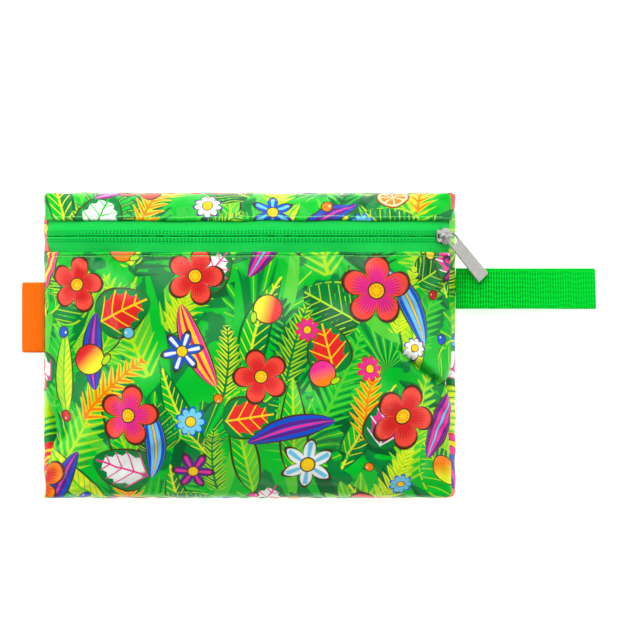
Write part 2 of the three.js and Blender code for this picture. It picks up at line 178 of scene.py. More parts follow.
def sheetPiece(name, outer, inner, fabric, material, node):
    # a closed sheet; both its faces know their place on the cut cloth, which is handed back too
    points, faces = closedSheet(outer, inner)
    uv = np.tile(fabric.reshape(-1, 2), (2, 1))
    return makePiece(name, points, faces, material, [node], uv=uv), uv


# Shader helpers

def tone(red, green, blue):
    # a colour as seen on screen, from 0 to 255, turned to the linear values that shaders take
    share = np.array([red, green, blue]) / 255
    linear = np.where(share <= 0.04045, share / 12.92, ((share + 0.055) / 1.055) ** 2.4)
    return (*linear.tolist(), 1.0)


inks = {
    "deep": tone(0, 98, 42),
    "dark": tone(0, 130, 54),
    "bright": tone(0, 192, 42),
    "mid": tone(84, 206, 50),
    "lime": tone(178, 226, 26),
    "yellow": tone(230, 238, 40),
    "outline": tone(70, 38, 24),
    "wine": tone(150, 16, 40),
    "red": tone(230, 36, 38),
    "flame": tone(250, 74, 58),
    "orange": tone(255, 128, 8),
    "gold": tone(255, 206, 20),
    "pith": tone(255, 246, 190),
    "shine": tone(255, 244, 214),
    "white": tone(240, 244, 238),
    "sky": tone(112, 200, 236),
    "blue": tone(16, 82, 204),
    "purple": tone(92, 30, 140),
    "pink": tone(240, 44, 146),
}


def feed(socket, value):
    # links a wire to a socket, or sets the socket to a plain number, a colour or an ink by its name
    if isinstance(value, Wire):
        socket.id_data.links.new(value.socket, socket)
    else:
        socket.default_value = inks[value] if isinstance(value, str) else value


class Wire:
    # a number or colour on its way through a node tree, so that a formula can be written as one

    def __init__(self, socket):
        self.socket = socket
        self.tree = socket.id_data

    def math(self, operation, *others, clamp=False):
        node = self.tree.nodes.new("ShaderNodeMath")
        node.operation = operation
        node.use_clamp = clamp
        for socket, value in zip(node.inputs, (self, *others)):
            feed(socket, value)
        return Wire(node.outputs[0])

    def __add__(self, other):
        return self.math("ADD", other)

    def __sub__(self, other):
        return self.math("SUBTRACT", other)

    def __rsub__(self, other):
        return self.math("MULTIPLY_ADD", -1.0, other)

    def __mul__(self, other):
        return self.math("MULTIPLY", other)

    def __truediv__(self, other):
        return self.math("DIVIDE", other)

    def __pow__(self, power):
        return self.math("POWER", power)

    def __abs__(self):
        return self.math("ABSOLUTE")

    def zigzag(self):
        # 0 at whole numbers and 1 half way between them
        return self.math("PINGPONG", 0.5) * 2.0

    def below(self, limit, soft=0.03):
        # 1 where the value is under the limit, with a narrow soft edge
        gap = limit - self if isinstance(limit, Wire) else self.__rsub__(limit)
        return gap.math("MULTIPLY_ADD", 1.0 / soft, 0.5, clamp=True)

    def above(self, limit, soft=0.03):
        return 1.0 - self.below(limit, soft)

    def longer(self, other):
        # length of the slant over two sides
        return (self * self + other * other).math("SQRT")


def paint(below, mask, top):
    # one colour over another where the mask is 1
    node = mask.tree.nodes.new("ShaderNodeMix")
    node.data_type = "RGBA"
    feed(node.inputs[0], mask)
    feed(node.inputs[6], below)
    feed(node.inputs[7], top)
    return Wire(node.outputs[2])


def lay(colour, *layers):
    # lays colours over one another, each where its mask is 1
    for mask, top in layers:
        colour = paint(colour, mask, top)
    return colour


def choose(tint, names):
    # picks one of a few inks by a number from 0 to 1
    names = names.split()
    node = tint.tree.nodes.new("ShaderNodeValToRGB")
    node.color_ramp.interpolation = "CONSTANT"
    stops = node.color_ramp.elements
    stops[0].color = inks[names[0]]
    stops.remove(stops[1])
    for i, name in enumerate(names[1:], 1):
        stops.new(i / len(names)).color = inks[name]
    feed(node.inputs[0], tint)
    return Wire(node.outputs[0])


def newGroup(name, inputs, outputs):
    # an empty node group; inputs and outputs map socket names to kinds
    group = bpy.data.node_groups.new(name, "ShaderNodeTree")
    for label, kind in inputs.items():
        group.interface.new_socket(label, in_out="INPUT", socket_type="NodeSocket" + kind)
    for label, kind in outputs.items():
        group.interface.new_socket(label, in_out="OUTPUT", socket_type="NodeSocket" + kind)
    source = group.nodes.new("NodeGroupInput").outputs
    target = group.nodes.new("NodeGroupOutput").inputs
    return group, source, target


def placeGroup(tree, group, **values):
    # puts a group into a tree and feeds its inputs by name
    node = tree.nodes.new("ShaderNodeGroup")
    node.node_tree = group
    for label, value in values.items():
        feed(node.inputs[label], value)
    return {out.name: Wire(out) for out in node.outputs}


def newMaterial(name, **constants):
    # a material with its Principled shader; constants are set on the shader's own sockets
    material = bpy.data.materials.new(name)
    material.use_nodes = True
    shader = material.node_tree.nodes["Principled BSDF"]
    for label, value in constants.items():
        shader.inputs[label].default_value = value
    return material, material.node_tree, shader


def readNode(tree, kind, output, **settings):
    # a wire out of a coordinate or attribute node
    node = tree.nodes.new(kind)
    for label, value in settings.items():
        setattr(node, label, value)
    return Wire(node.outputs[output])


def splitVector(wire):
    node = wire.tree.nodes.new("ShaderNodeSeparateXYZ")
    feed(node.inputs[0], wire)
    return [Wire(out) for out in node.outputs]


def noise(vector, scale, detail=2.0):
    node = vector.tree.nodes.new("ShaderNodeTexNoise")
    feed(node.inputs["Vector"], vector)
    node.inputs["Scale"].default_value = scale
    node.inputs["Detail"].default_value = detail
    return Wire(node.outputs[0])


def dress(shader, colour, roughness):
    feed(shader.inputs["Base Color"], colour)
    feed(shader.inputs["Roughness"], roughness)


def addBump(tree, shader, height, distance, strength=1.0):
    node = tree.nodes.new("ShaderNodeBump")
    node.inputs["Distance"].default_value = distance
    node.inputs["Strength"].default_value = strength
    feed(node.inputs["Height"], height)
    tree.links.new(node.outputs[0], shader.inputs["Normal"])


def weaveGroup():
    # plain weave: two crossing sets of rounded threads, each over the other in turn
    group, source, target = newGroup(
        "weave", {"Cut": "Vector", "Pitch": "Float"}, {"Height": "Float", "Gap": "Float"}
    )
    u, v, _ = splitVector(Wire(source["Cut"]))
    pitch = Wire(source["Pitch"])
    across, along = u / pitch, v / pitch
    over = ((across.math("FLOOR") + along.math("FLOOR")) * 0.5).zigzag()
    warp = 1.0 - (across + 0.5).zigzag()
    weft = 1.0 - (along + 0.5).zigzag()
    height = warp * over + weft * (1.0 - over)
    feed(target["Height"], height)
    feed(target["Gap"], (1.0 - warp) * (1.0 - weft))
    return group


weave = weaveGroup()


# The print: scattered leaves, flowers and fruit, each drawn in its own frame on the cloth
# u runs along a motif and v across it in shares of its half length; each limit comes with its soft edge

def polar(u, v):
    # distance from the motif's middle and angle round it
    return u.longer(v), v.math("ARCTAN2", u)


def rays(angle, count):
    # 0 on each of the rays spread evenly round the motif, 1 half way between them
    return (angle * (count / (2 * math.pi))).zigzag()


def petals(angle, count, base, power):
    # flower's outline: a ring that swells into round petals
    return (abs((angle * (count / 2)).math("COSINE")) ** power) * (1.0 - base) + base


def leafSpan(u):
    # 1 at the middle of a leaf and 0 at both tips
    return (1.0 - u * u).math("MAXIMUM", 0.001)


def onLeaf(u, edge, soft=0.06, tip=0.985):
    # 1 inside a leaf whose edge share is under 1, cut off just before its tips
    return edge.below(1.0, soft) * abs(u).below(tip, 0.01)


def drawBananaLeaf(u, v, tint, below):
    # long leaf: its half width is a power of its span, and its veins slant off the midrib
    vein = choose(tint, "dark lime mid yellow")
    edge = abs(v) / (leafSpan(u) ** 0.8 * (1.0 - u * 0.3) * 0.27)
    slant = ((u - abs(v) * 1.3) * 5.5).zigzag()
    colour = lay(
        choose(tint, "lime mid yellow dark"),
        (v.above(0.0, 0.02), choose(tint, "mid bright lime bright")),
        (slant.below(0.16, 0.08) * edge.below(0.8, 0.1), vein),
        (abs(v).below(0.022, 0.012), vein),
        (edge.above(0.84, 0.08), choose(tint, "outline deep")),
    )
    return paint(below, onLeaf(u, edge), colour)


def drawStripedLeaf(u, v, tint, below):
    # narrow leaf with bands that run its whole length
    edge = v / (leafSpan(u) ** 0.7 * 0.28)
    colour = lay(
        choose(tint, "blue purple pink blue"),
        ((edge * 1.5).zigzag().above(0.5, 0.16), choose(tint, "sky pink gold purple")),
        (abs(edge).below(0.1, 0.06), choose(tint, "gold sky red pink")),
        (abs(edge).above(0.86, 0.06), "outline"),
    )
    return paint(below, onLeaf(u, abs(edge)), colour)


def drawBlade(u, v, tint, below):
    # plain long blade in two tones, which fills the ground
    edge = v / (leafSpan(u) ** 0.75 * (1.0 - u * 0.25) * 0.2)
    body = choose(tint, "bright dark mid bright dark")
    shade = choose(tint, "dark bright bright mid deep")
    return paint(below, onLeaf(u, abs(edge), tip=0.99), paint(body, edge.above(0.0, 0.1), shade))


def feather(u, v, below, count, body, shade):
    # frond: slanted leaflets on both sides of a rib, each narrowing to its tip
    half = (leafSpan(u) ** 0.45) * (1.0 - u * 0.3) * 0.4
    out = (abs(v) / half).math("MINIMUM", 1.0)
    leaflet = (u * count - abs(v) * (0.9 * count)).zigzag()
    width = 0.86 - (out ** 2.0) * 0.8
    colour = paint(body, (leaflet / width).below(0.4, 0.2), shade)
    mask = leaflet.below(width, 0.12) * out.below(0.97, 0.04) * abs(u).below(0.97, 0.02)
    rib = abs(v).below(0.024 - u * 0.012, 0.012) * abs(u).below(0.95, 0.02)
    return lay(below, (mask, colour), (rib, shade))


def drawFrond(u, v, tint, below):
    return feather(u, v, below, 6.0, choose(tint, "bright mid dark"), choose(tint, "mid lime deep"))


def drawSprig(u, v, tint, below):
    body = choose(tint, "yellow lime yellow lime gold")
    return feather(u, v, below, 4.5, body, choose(tint, "dark yellow lime dark orange"))


def drawFan(u, v, tint, below):
    # palm fan: pleats spread from the stem, each ending in a point
    r, angle = polar(u + 0.72, v)
    pleat = (angle * 3.6).zigzag()
    limit = (1.7 - abs(angle) * 0.64) * (1.0 - pleat ** 1.5 * 0.3)
    colour = lay(
        choose(tint, "bright dark mid"),
        (pleat.above(0.55, 0.3), choose(tint, "dark bright lime")),
        (pleat.below(0.07, 0.06), "lime"),
    )
    return paint(below, r.below(limit, 0.03) * abs(angle).below(1.9, 0.03), colour)


def drawSplitLeaf(u, v, tint, below):
    # broad heart leaf with slits between its side veins
    edge = abs(v) / ((leafSpan(u) ** 0.55) * (0.86 - u * 0.3))
    rank = (u * 2.6 - abs(v) * 2.1).zigzag()
    slit = rank.above(1.1 - edge * 0.42, 0.05)
    colour = lay(
        "dark",
        (v.above(0.0, 0.03), choose(tint, "deep bright")),
        (rank.below(0.1, 0.06) * edge.below(0.86, 0.1), "lime"),
        (abs(v).below(0.03, 0.015), "lime"),
        (edge.above(0.93, 0.04), "lime"),
    )
    return paint(below, onLeaf(u, edge, 0.04, 0.98) * (1.0 - slit), colour)


def drawCaladium(u, v, tint, below):
    # heart leaf with a bright middle, veins in another colour and a green rim
    edge = abs(v) / ((leafSpan(u) ** 0.5) * (0.8 - u * 0.28))
    vein = choose(tint, "gold bright white pink")
    rank = (u * 2.3 - abs(v) * 1.7).zigzag()
    colour = lay(
        "dark",
        (edge.longer(u).below(0.8 - rank * 0.16, 0.04), choose(tint, "red white pink white")),
        (rank.below(0.13, 0.06) * edge.longer(u).below(0.88, 0.04), vein),
        (abs(v).below(0.034, 0.015) * abs(u).below(0.9, 0.03), vein),
        (edge.above(0.92, 0.04), "outline"),
    )
    return paint(below, onLeaf(u, edge, 0.04, 0.98), colour)


def drawFlower(u, v, tint, below):
    # five round petals with fine streaks, and a dotted eye
    r, angle = polar(u, v)
    reach = r / petals(angle, 5, 0.42, 0.55)
    colour = lay(
        choose(tint, "red pink red red red"),
        (reach.above(0.62, 0.3), choose(tint, "flame flame orange flame orange")),
        (rays(angle, 45).below(0.16, 0.1) * r.below(0.66, 0.1), "wine"),
        (reach.above(0.9, 0.05), "outline"),
        (r.below(0.24, 0.02), "outline"),
        (r.below(0.2, 0.02), "gold"),
        (rays(angle, 10).above(0.55, 0.1) * abs(r - 0.13).below(0.035, 0.02), "orange"),
    )
    return paint(below, reach.below(1.0, 0.03), colour)


def drawLily(u, v, tint, below):
    # six pointed petals, each with a pale stripe down its middle
    r, angle = polar(u, v)
    aside = rays(angle, 6)
    reach = r / (1.0 - (aside ** 1.4) * 0.6)
    stripe = aside.below(0.42 - r * 0.3, 0.06) * r.below(0.8, 0.04)
    colour = lay(
        choose(tint, "blue pink blue white purple"),
        (stripe, choose(tint, "sky white white sky pink")),
        (reach.above(0.88, 0.05), "outline"),
        (r.below(0.27, 0.03), "outline"),
        (r.below(0.22, 0.03), "gold"),
    )
    return paint(below, reach.below(1.0, 0.04), colour)


def drawDaisy(u, v, tint, below):
    # nine petals with a coloured trim
    r, angle = polar(u, v)
    reach = r / petals(angle, 9, 0.5, 0.5)
    colour = lay(
        choose(tint, "white sky white pink"),
        (reach.above(0.86, 0.06), choose(tint, "blue blue purple red")),
        (r.below(0.36, 0.04), "outline"),
        (r.below(0.3, 0.04), "gold"),
    )
    return paint(below, reach.below(1.0, 0.05), colour)


def drawFruit(u, v, tint, below):
    # a round fruit blushing to one side under a small leaf; for some tints a slice of rind, pith and wedges
    r, angle = polar(u, v)
    skin = (u + 0.13).longer(v) * (1 / 0.85)
    leaf = ((u - 0.7) * 5.0 - v).longer((v - 0.26) * 2.7)
    whole = lay(
        choose(tint, "gold yellow gold orange yellow"),
        ((v * 0.5 - u).above(0.1, 0.9), choose(tint, "orange orange flame pink red")),
        (skin.above(0.92, 0.03), "outline"),
        (leaf.below(1.0, 0.1), "outline"),
        (leaf.below(0.78, 0.1), "lime"),
    )
    inWhole = skin.below(1.0, 0.04).math("MAXIMUM", leaf.below(1.0, 0.1))
    wedge = rays(angle, 8).above(0.2, 0.06) * r.below(0.76, 0.04) * r.above(0.1, 0.04)
    rind = (r.above(0.86, 0.03), "orange")
    cutOpen = lay("pith", (wedge, "orange"), rind, (r.above(0.93, 0.03), "outline"))
    isCut = tint.below(0.18, 0.001)
    mask = inWhole + (r.below(1.0, 0.04) - inWhole) * isCut
    return paint(below, mask, paint(whole, isCut, cutOpen))


def drawBerry(u, v, tint, below):
    r = u.longer(v)
    colour = lay(
        choose(tint, "orange red gold pink blue sky"),
        ((u + 0.3).longer(v - 0.3).below(0.17, 0.08), "shine"),
        (r.above(0.82, 0.08), "outline"),
    )
    return paint(below, r.below(1.0, 0.08), colour)


# half length, half width and gap to the next of its kind in mm, lean and its spread in degrees,
# bow as a share of the half length, number of tries
motifColumns = ("draw", "reach", "girth", "gap", "lean", "spread", "bow", "tries")
motifRows = {
    "underBlade": (drawBlade, 44, 9, 0, 60, 60, 0.3, 3000),
    "fan": (drawFan, 30, 30, 0, 90, 60, 0, 700),
    "blade": (drawBlade, 38, 8, 3, 110, 50, 0.4, 2200),
    "frond": (drawFrond, 36, 14, 1, 80, 50, 0.25, 1600),
    "banana": (drawBananaLeaf, 31, 9, 5, 100, 45, 0.35, 1200),
    "split": (drawSplitLeaf, 19, 18, 26, 90, 70, 0, 500),
    "sprig": (drawSprig, 25, 10, 11, 85, 50, 0.35, 700),
    "caladium": (drawCaladium, 17, 15, 22, 90, 90, 0, 500),
    "accent": (drawStripedLeaf, 28, 9, 18, 70, 60, 0.45, 700),
    "flower": (drawFlower, 20, 20, 24, 90, 180, 0, 500),
    "lily": (drawLily, 16, 16, 11, 90, 180, 0, 400),
    "fruit": (drawFruit, 11, 11, 9, 90, 180, 0, 320),
    "daisy": (drawDaisy, 8.5, 8.5, 6, 90, 180, 0, 260),
    "berry": (drawBerry, 3.6, 3.6, 7, 90, 180, 0, 300),
}
motifs = {name: dict(zip(motifColumns, row)) for name, row in motifRows.items()}
topMotifs = ("flower", "lily", "fruit", "daisy", "berry")  # these keep clear of each other too
bolt = dict(left=-190, right=230, low=-420, high=230, seed=11, sizes=(0.84, 1.12), spare=1.2)


def scatter(kind, seed, taken):
    # throws the motif at random places and keeps each one whose spine stays clear of those already kept
    rng = np.random.default_rng(seed)
    steps = max(1, math.ceil(2 * kind["reach"] / kind["girth"]) - 1)
    spine = np.linspace(-1, 1, steps) if steps > 1 else np.zeros(1)
    kept = []
    for _ in range(kind["tries"]):
        x = rng.uniform(bolt["left"], bolt["right"])
        y = rng.uniform(bolt["low"], bolt["high"])
        turn = math.radians(kind["lean"] + kind["spread"] * rng.uniform(-1, 1))
        size = rng.uniform(*bolt["sizes"])
        tint = rng.random()
        girth = kind["girth"] * size
        along = spine * (kind["reach"] * size - girth)
        aside = kind["bow"] * (tint - 0.5) * kind["reach"] * size * (1 - spine ** 2)
        c, s = math.cos(turn), math.sin(turn)
        spots = np.stack([x + along * c - aside * s, y + along * s + aside * c], -1)
        if taken:
            others = np.concatenate(taken)
            apart = np.linalg.norm(spots[:, None] - others[None, :, :2], axis=-1) - others[None, :, 2]
            if apart.min() < girth + kind["gap"]:
                continue
        taken.append(np.column_stack([spots, np.full(len(spots), girth)]))
        kept.append((x, y, turn, size, tint))
    return kept


def layPrint():
    shared = []
    places = {}
    for i, (name, kind) in enumerate(motifs.items()):
        taken = shared if name in topMotifs else []
        places[name] = scatter(kind, bolt["seed"] + i, taken)
    return places


printPlaces = layPrint()
print("print laid out:", {name: len(rows) for name, rows in printPlaces.items()})


def ownFrame(spots, x, y, turn, reach, bend):
    # along and across a motif in shares of its reach, with its bow taken out
    c, s = math.cos(turn), math.sin(turn)
    local = (spots - (x, y)) @ np.array([[c, -s], [s, c]]) / reach
    local[..., 1] -= bend * (1 - local[..., 0] ** 2)
    return local


def printOnto(piece, fabric):
    # gives each face the frame of the nearest motif that it lies on, for each kind: along, across and tint
    mesh = piece.data
    spots = fabric[cornerPoints(mesh)].reshape(-1, 4, 2)
    middle = spots.mean(1)
    low, high = middle.min(0), middle.max(0)
    for name, kind in motifs.items():
        place = np.full((len(spots), 4, 3), 9.0)
        nearest = np.full(len(spots), np.inf)
        for x, y, turn, size, tint in printPlaces[name]:
            reach, girth = kind["reach"] * size, kind["girth"] * size
            if (np.array([x, y]) + reach < low).any() or (np.array([x, y]) - reach > high).any():
                continue
            bend = kind["bow"] * (tint - 0.5)
            local = ownFrame(middle, x, y, turn, reach, bend)
            past = np.maximum(np.abs(local[:, 0]) - (1 - girth / reach), 0)
            away = np.hypot(past, local[:, 1]) * reach
            inside = (away < girth * 1.04 + bolt["spare"]) & (away < nearest)
            nearest[inside] = away[inside]
            place[inside, :, :2] = ownFrame(spots[inside], x, y, turn, reach, bend)
            place[inside, :, 2] = tint
        layer = mesh.attributes.new("place_" + name, "FLOAT_VECTOR", "CORNER")
        layer.data.foreach_set("vector", place.astype(np.float32).ravel())
    return piece


def motifGroup(name, draw):
    # a motif takes its place on the cloth and the colour below it, and puts out the colour with it on top
    group, source, target = newGroup(name, {"Place": "Vector", "Below": "Color"}, {"Colour": "Color"})
    u, v, tint = splitVector(Wire(source["Place"]))
    feed(target["Colour"], draw(u, v, tint, Wire(source["Below"])))
    return group


polyester = dict(gloss=0.2, smoothest=0.24, uneven=0.08, thread=0.42, gapShade=0.16, relief=0.00001)


def printFabricMaterial():
    # glossy printed polyester: a green ground with soft leaf shadows, the motifs, and a fine weave
    material, tree, shader = newMaterial("printFabric", **{"Specular IOR Level": polyester["gloss"]})
    cut = readNode(tree, "ShaderNodeUVMap", 0, uv_map="cut")
    colour = paint("bright", noise(cut, 0.045, 3.0).above(0.56, 0.02), "dark")
    for name, kind in motifs.items():
        place = readNode(tree, "ShaderNodeAttribute", "Vector", attribute_name="place_" + name)
        colour = placeGroup(tree, motifGroup(name, kind["draw"]), Place=place, Below=colour)["Colour"]
    threads = placeGroup(tree, weave, Cut=cut, Pitch=polyester["thread"])
    colour = paint(colour, threads["Gap"] * polyester["gapShade"], "deep")
    dress(shader, colour, noise(cut, 0.05) * polyester["uneven"] + polyester["smoothest"])
    addBump(tree, shader, threads["Height"], polyester["relief"], 0.5)
    return material


printFabric = printFabricMaterial()


# Front skin of the pouch, shared by both front panels and the zip

pouch = dict(
    width=251, height=185, thickness=40, sideSeam=18, endSeam=13, leftInset=1.3, rightInset=2.8,
    sideCrown=8, endCrown=5, cornerRound=3.2, squareCorner=0.6, cloth=0.8,
)
halfHeight = pouch["height"] / 2
halfWidth = pouch["width"] / 2

# slit, upperEdge and lowerEdge are heights on the pouch, openFrom and openTo places along it
zipper = dict(
    slit=66.3, upperEdge=76, lowerEdge=56.5, underHem=5, tape=0.7, tapeReach=0.9995, columns=300, rows=42,
    tapeDepth=1.35, tapeTilt=1.0, tilts=(1.5, 10), edgeRoll=0.5, rollDrop=0.55, coilHump=0.35, humpAt=1.7,
    humpHalf=2.1, wave=0.12, wavePitch=31, waves=(3, 7), slitGap=0.42, openGap=2.4, openFrom=114.3,
    openTo=120.3, coilPitch=1.15, coilWide=1.0, coilTall=0.75, coilDepth=3.5, coilReach=0.965, coilWire=0.24,
    stitchPitch=2.15, stitchRows=(1.55, 2.95), stitchShare=0.52, holeWide=0.4, holeLong=0.46,
)

# folds of the front: x, y, turn in degrees, half length, half width, depth (a ridge is negative)
frontFolds = [
    (-120, -49, 90, 17, 7, 4.5),
    (-103, -6, 80, 24, 9, 2.6),
    (-92, -26, 35, 20, 6, -1.3),
    (8, -80, -42, 13, 5, -1.6),
    (-72, -82, 20, 14, 4.5, -1.6),
    (49, -82, -30, 12, 5, -1.4),
    (62, -66, 25, 26, 11, 2.2),
    (96, -60, 52, 20, 7, 2.4),
    (-30, -32, 28, 40, 12, 2.2),
    (-34, 14, 22, 50, 15, 1.8),
    (30, -20, -40, 26, 9, 1.6),
    (56, 26, -14, 36, 11, 1.8),
    (-76, 40, -38, 24, 8, 1.8),
]

# step folds: x, y, turn in degrees, half length, rise of the side to the left of that direction,
# half width of the drop, length over which the raised side sinks again, depth of the trough at its foot
stepFolds = [
    (108.5, -14.5, -39, 18, 5.8, 1.2, 10, 6.5),
    (115.5, 36, 46, 14, 4.4, 1.2, 9, 4.0),
    (-114, -58.5, 238, 17, 2.6, 0.8, 8, 1.4),
]

# short creases that run in from the side and bottom seams
creases = dict(
    count=34, seed=4, top=44, clear=12, slant=40,
    inset=(7, 22), halfLength=(7, 15), halfAcross=(2.2, 3.6), depth=(0.5, 1.2),
)


def creaseRows():
    # spread evenly with some chance down the left side, along the bottom and up the right side
    rng = np.random.default_rng(creases["seed"])
    down = creases["top"] + halfHeight - creases["clear"]
    along = 2 * (halfWidth - creases["clear"])
    rows = []
    for k in range(creases["count"]):
        p = (k + rng.uniform(0.1, 0.9)) / creases["count"] * (2 * down + along)
        inset = rng.uniform(*creases["inset"])
        if p < down:
            place = (inset - halfWidth, creases["top"] - p, 0)
        elif p < down + along:
            place = (p - down - along / 2, inset - halfHeight, 90)
        else:
            place = (halfWidth - inset, p - 2 * down - along + creases["top"], 0)
        x, y, turn = place
        turn = turn + rng.uniform(-creases["slant"], creases["slant"])
        sizes = [rng.uniform(*creases[name]) for name in ("halfLength", "halfAcross", "depth")]
        rows.append((x, y, turn, sizes[0], sizes[1], sizes[2] * rng.choice((-1, 1))))
    return rows


edgeCreases = creaseRows()

# places where a side seam is drawn in: side, y, half length, depth
seamTucks = [
    (-1, -51, 17, 7.0),
    (-1, 53, 6, 1.8),
    (1, -24, 8, 3.2),
    (1, -56, 11, 1.6),
    (1, 36, 14, 1.4),
]


def turnTo(share):
    return np.sin(share * np.pi / 2)


def turnFrom(share):
    return np.arcsin(np.clip(share, -1, 1)) * 2 / np.pi


def alongAt(y):
    return turnFrom(y / halfHeight)


def seamHalfWidth(s, y):
    # half the width from the middle to the seam, less the tucks on that side
    side = np.where(s < 0, -1, 1)
    drawn = sum(np.where(side == row[0], row[3] * hump(y, row[1], row[2]), 0) for row in seamTucks)
    return halfWidth - np.where(s < 0, pouch["leftInset"], pouch["rightInset"]) - drawn


def ownAxes(x, y, px, py, turn):
    # distances along and across a line through a point, turned by some degrees
    c, s = cosSin(turn)
    return (x - px) * c + (y - py) * s, (y - py) * c - (x - px) * s


def foldDepth(x, y, rows):
    # sum of long bells, each turned to its own direction
    total = np.zeros(np.broadcast(x, y).shape)
    for px, py, turn, halfLength, halfAcross, depth in rows:
        along, across = ownAxes(x, y, px, py, turn)
        total = total + depth * np.exp(-(along / halfLength) ** 2 - (across / halfAcross) ** 2)
    return total


def stepHeight(x, y):
    # one side stands up along a line and drops off sharply, with a trough at its foot
    total = np.zeros(np.broadcast(x, y).shape)
    for px, py, turn, halfLength, rise, sharp, back, dip in stepFolds:
        along, across = ownAxes(x, y, px, py, turn)
        stand = rise / 2 * (1 + np.tanh(across / sharp)) * np.exp(-np.maximum(across, 0) / back)
        trough = dip * hump(across, -1.2 * sharp, 1.6 * sharp)
        total = total + (stand - trough) * np.exp(-(along / halfLength) ** 4)
    return total


def roundCorners(s, x, y, reach):
    # round each corner's middle, squares are drawn in to circles; the lower left corner stays nearly square
    radius = np.where((s < 0) & (y < 0), pouch["squareCorner"], pouch["cornerRound"])
    right = np.maximum(np.abs(x) - reach + radius, 0)
    up = np.maximum(np.abs(y) - halfHeight + radius, 0)
    drawn = 1 - np.maximum(right, up) / np.maximum(np.hypot(right, up), 1e-9)
    return x - np.sign(x) * right * drawn, y - np.sign(y) * up * drawn


def frontRest(a, b, folded=True):
    # the front as cut and sewn: crowned, its sides rising steeply and its ends rolling over, with its folds
    s, t = turnTo(a), turnTo(b)
    y = halfHeight * t
    reach = seamHalfWidth(s, y)
    x, y = roundCorners(s, reach * s, y, reach)
    crown = (1 - np.abs(s) ** pouch["sideCrown"]) * np.sqrt(1 - np.minimum(np.abs(t), 1) ** pouch["endCrown"])
    sideShare = s ** 8 / (s ** 8 + t ** 8 + 0.02)
    seam = pouch["endSeam"] + (pouch["sideSeam"] - pouch["endSeam"]) * sideShare
    z = seam + (pouch["thickness"] - seam) * crown
    if folded:
        z = z - foldDepth(x, y, frontFolds + edgeCreases) * (1 - s ** 12) * (1 - t ** 12)
        z = z + stepHeight(x, y) * (1 - s ** 30) * (1 - t ** 30)
    return np.stack([x, y, z], -1)


def normalOf(surface, a, b, step=0.01, inside=0.985):
    # cross product of two short differences, taken just inside the rim
    a, b = np.clip(a, -inside, inside), np.clip(b, -inside, inside)
    right = surface(a + step, b) - surface(a - step, b)
    up = surface(a, b + step) - surface(a, b - step)
    return unit(np.cross(right, up))


# hem, side and end hold the height, pitch and seed of the puckers there
wrinkles = dict(
    broad=1.6, broadSeed=5, shortest=32, longest=80, hem=(0.28, 8.3, 3), side=(0.5, 11.5, 8),
    end=(0.45, 15, 21), sliderX=120, sliderClear=(14, 12), zipClear=9,
)


def ripple(x, pitch, seed):
    # a wave whose pitch and height wander along it
    rng = np.random.default_rng(seed)
    wander = sum(
        rng.uniform(0.5, 1) * np.sin(x / (pitch * k) + rng.uniform(0, 6.3)) for k in (0.9, 1.7, 3.1)
    )
    return np.sin(2 * np.pi * x / pitch + wander) * (0.6 + 0.4 * np.sin(x / (pitch * 1.3) + seed))


def wrinkleHeight(a, b, folded=True):
    # small puckers along the hems, sides and ends, over a broad unevenness
    s, t = turnTo(a), turnTo(b)
    x, y = s * halfWidth, t * halfHeight
    rng = np.random.default_rng(wrinkles["broadSeed"])
    broad = 0
    for wave in rng.uniform(wrinkles["shortest"], wrinkles["longest"], 6):
        turn = rng.uniform(0, np.pi)
        broad = broad + np.sin(2 * np.pi * (x * np.cos(turn) + y * np.sin(turn)) / wave + rng.uniform(0, 6.3))
    sideways = halfWidth - np.abs(x)
    endways = halfHeight - np.abs(y)
    slit = y - zipper["slit"]
    hems = hump(y, zipper["lowerEdge"] - 3, 5) + hump(y, zipper["upperEdge"] + 3, 4)
    height = wrinkles["broad"] * folded * broad / 2.5 * stepUp(np.minimum(sideways, endways), 2, 30)
    puckers = [
        (wrinkles["hem"], hems, x + 0.4 * y),
        (wrinkles["side"], hump(sideways, 5, 7), y + 40 * s),
        (wrinkles["end"], hump(endways, 4, 6), x + 30 * t),
    ]
    for (tall, pitch, seed), where, way in puckers:
        height = height + tall * where * ripple(way, pitch, seed)
    clearX, clearY = wrinkles["sliderClear"]
    sliderClear = 1 - np.exp(-((x - wrinkles["sliderX"]) / clearX) ** 2 - (slit / clearY) ** 2)
    zipClear = 1 - 0.8 * hump(slit, 0, wrinkles["zipClear"])
    return height * sliderClear * zipClear


def sewnSkin(a, b, folded=True):
    # the sewn front moved along its normal by the wrinkles
    rest = frontRest(a, b, folded)
    return rest + normalOf(frontRest, a, b) * wrinkleHeight(a, b, folded)[..., None]


# A cloth trial of the whole front, held at its seams and zip, lets it swell and crease

trial = dict(
    columns=180, rows=134, frames=22, quality=6, mass=0.15, stretch=18, shear=8, bending=0.15, airDamping=2,
    pressure=1.2, growth=0.025, cap=2.6, zipHold=12, rimFade=(0.2, 6),
)


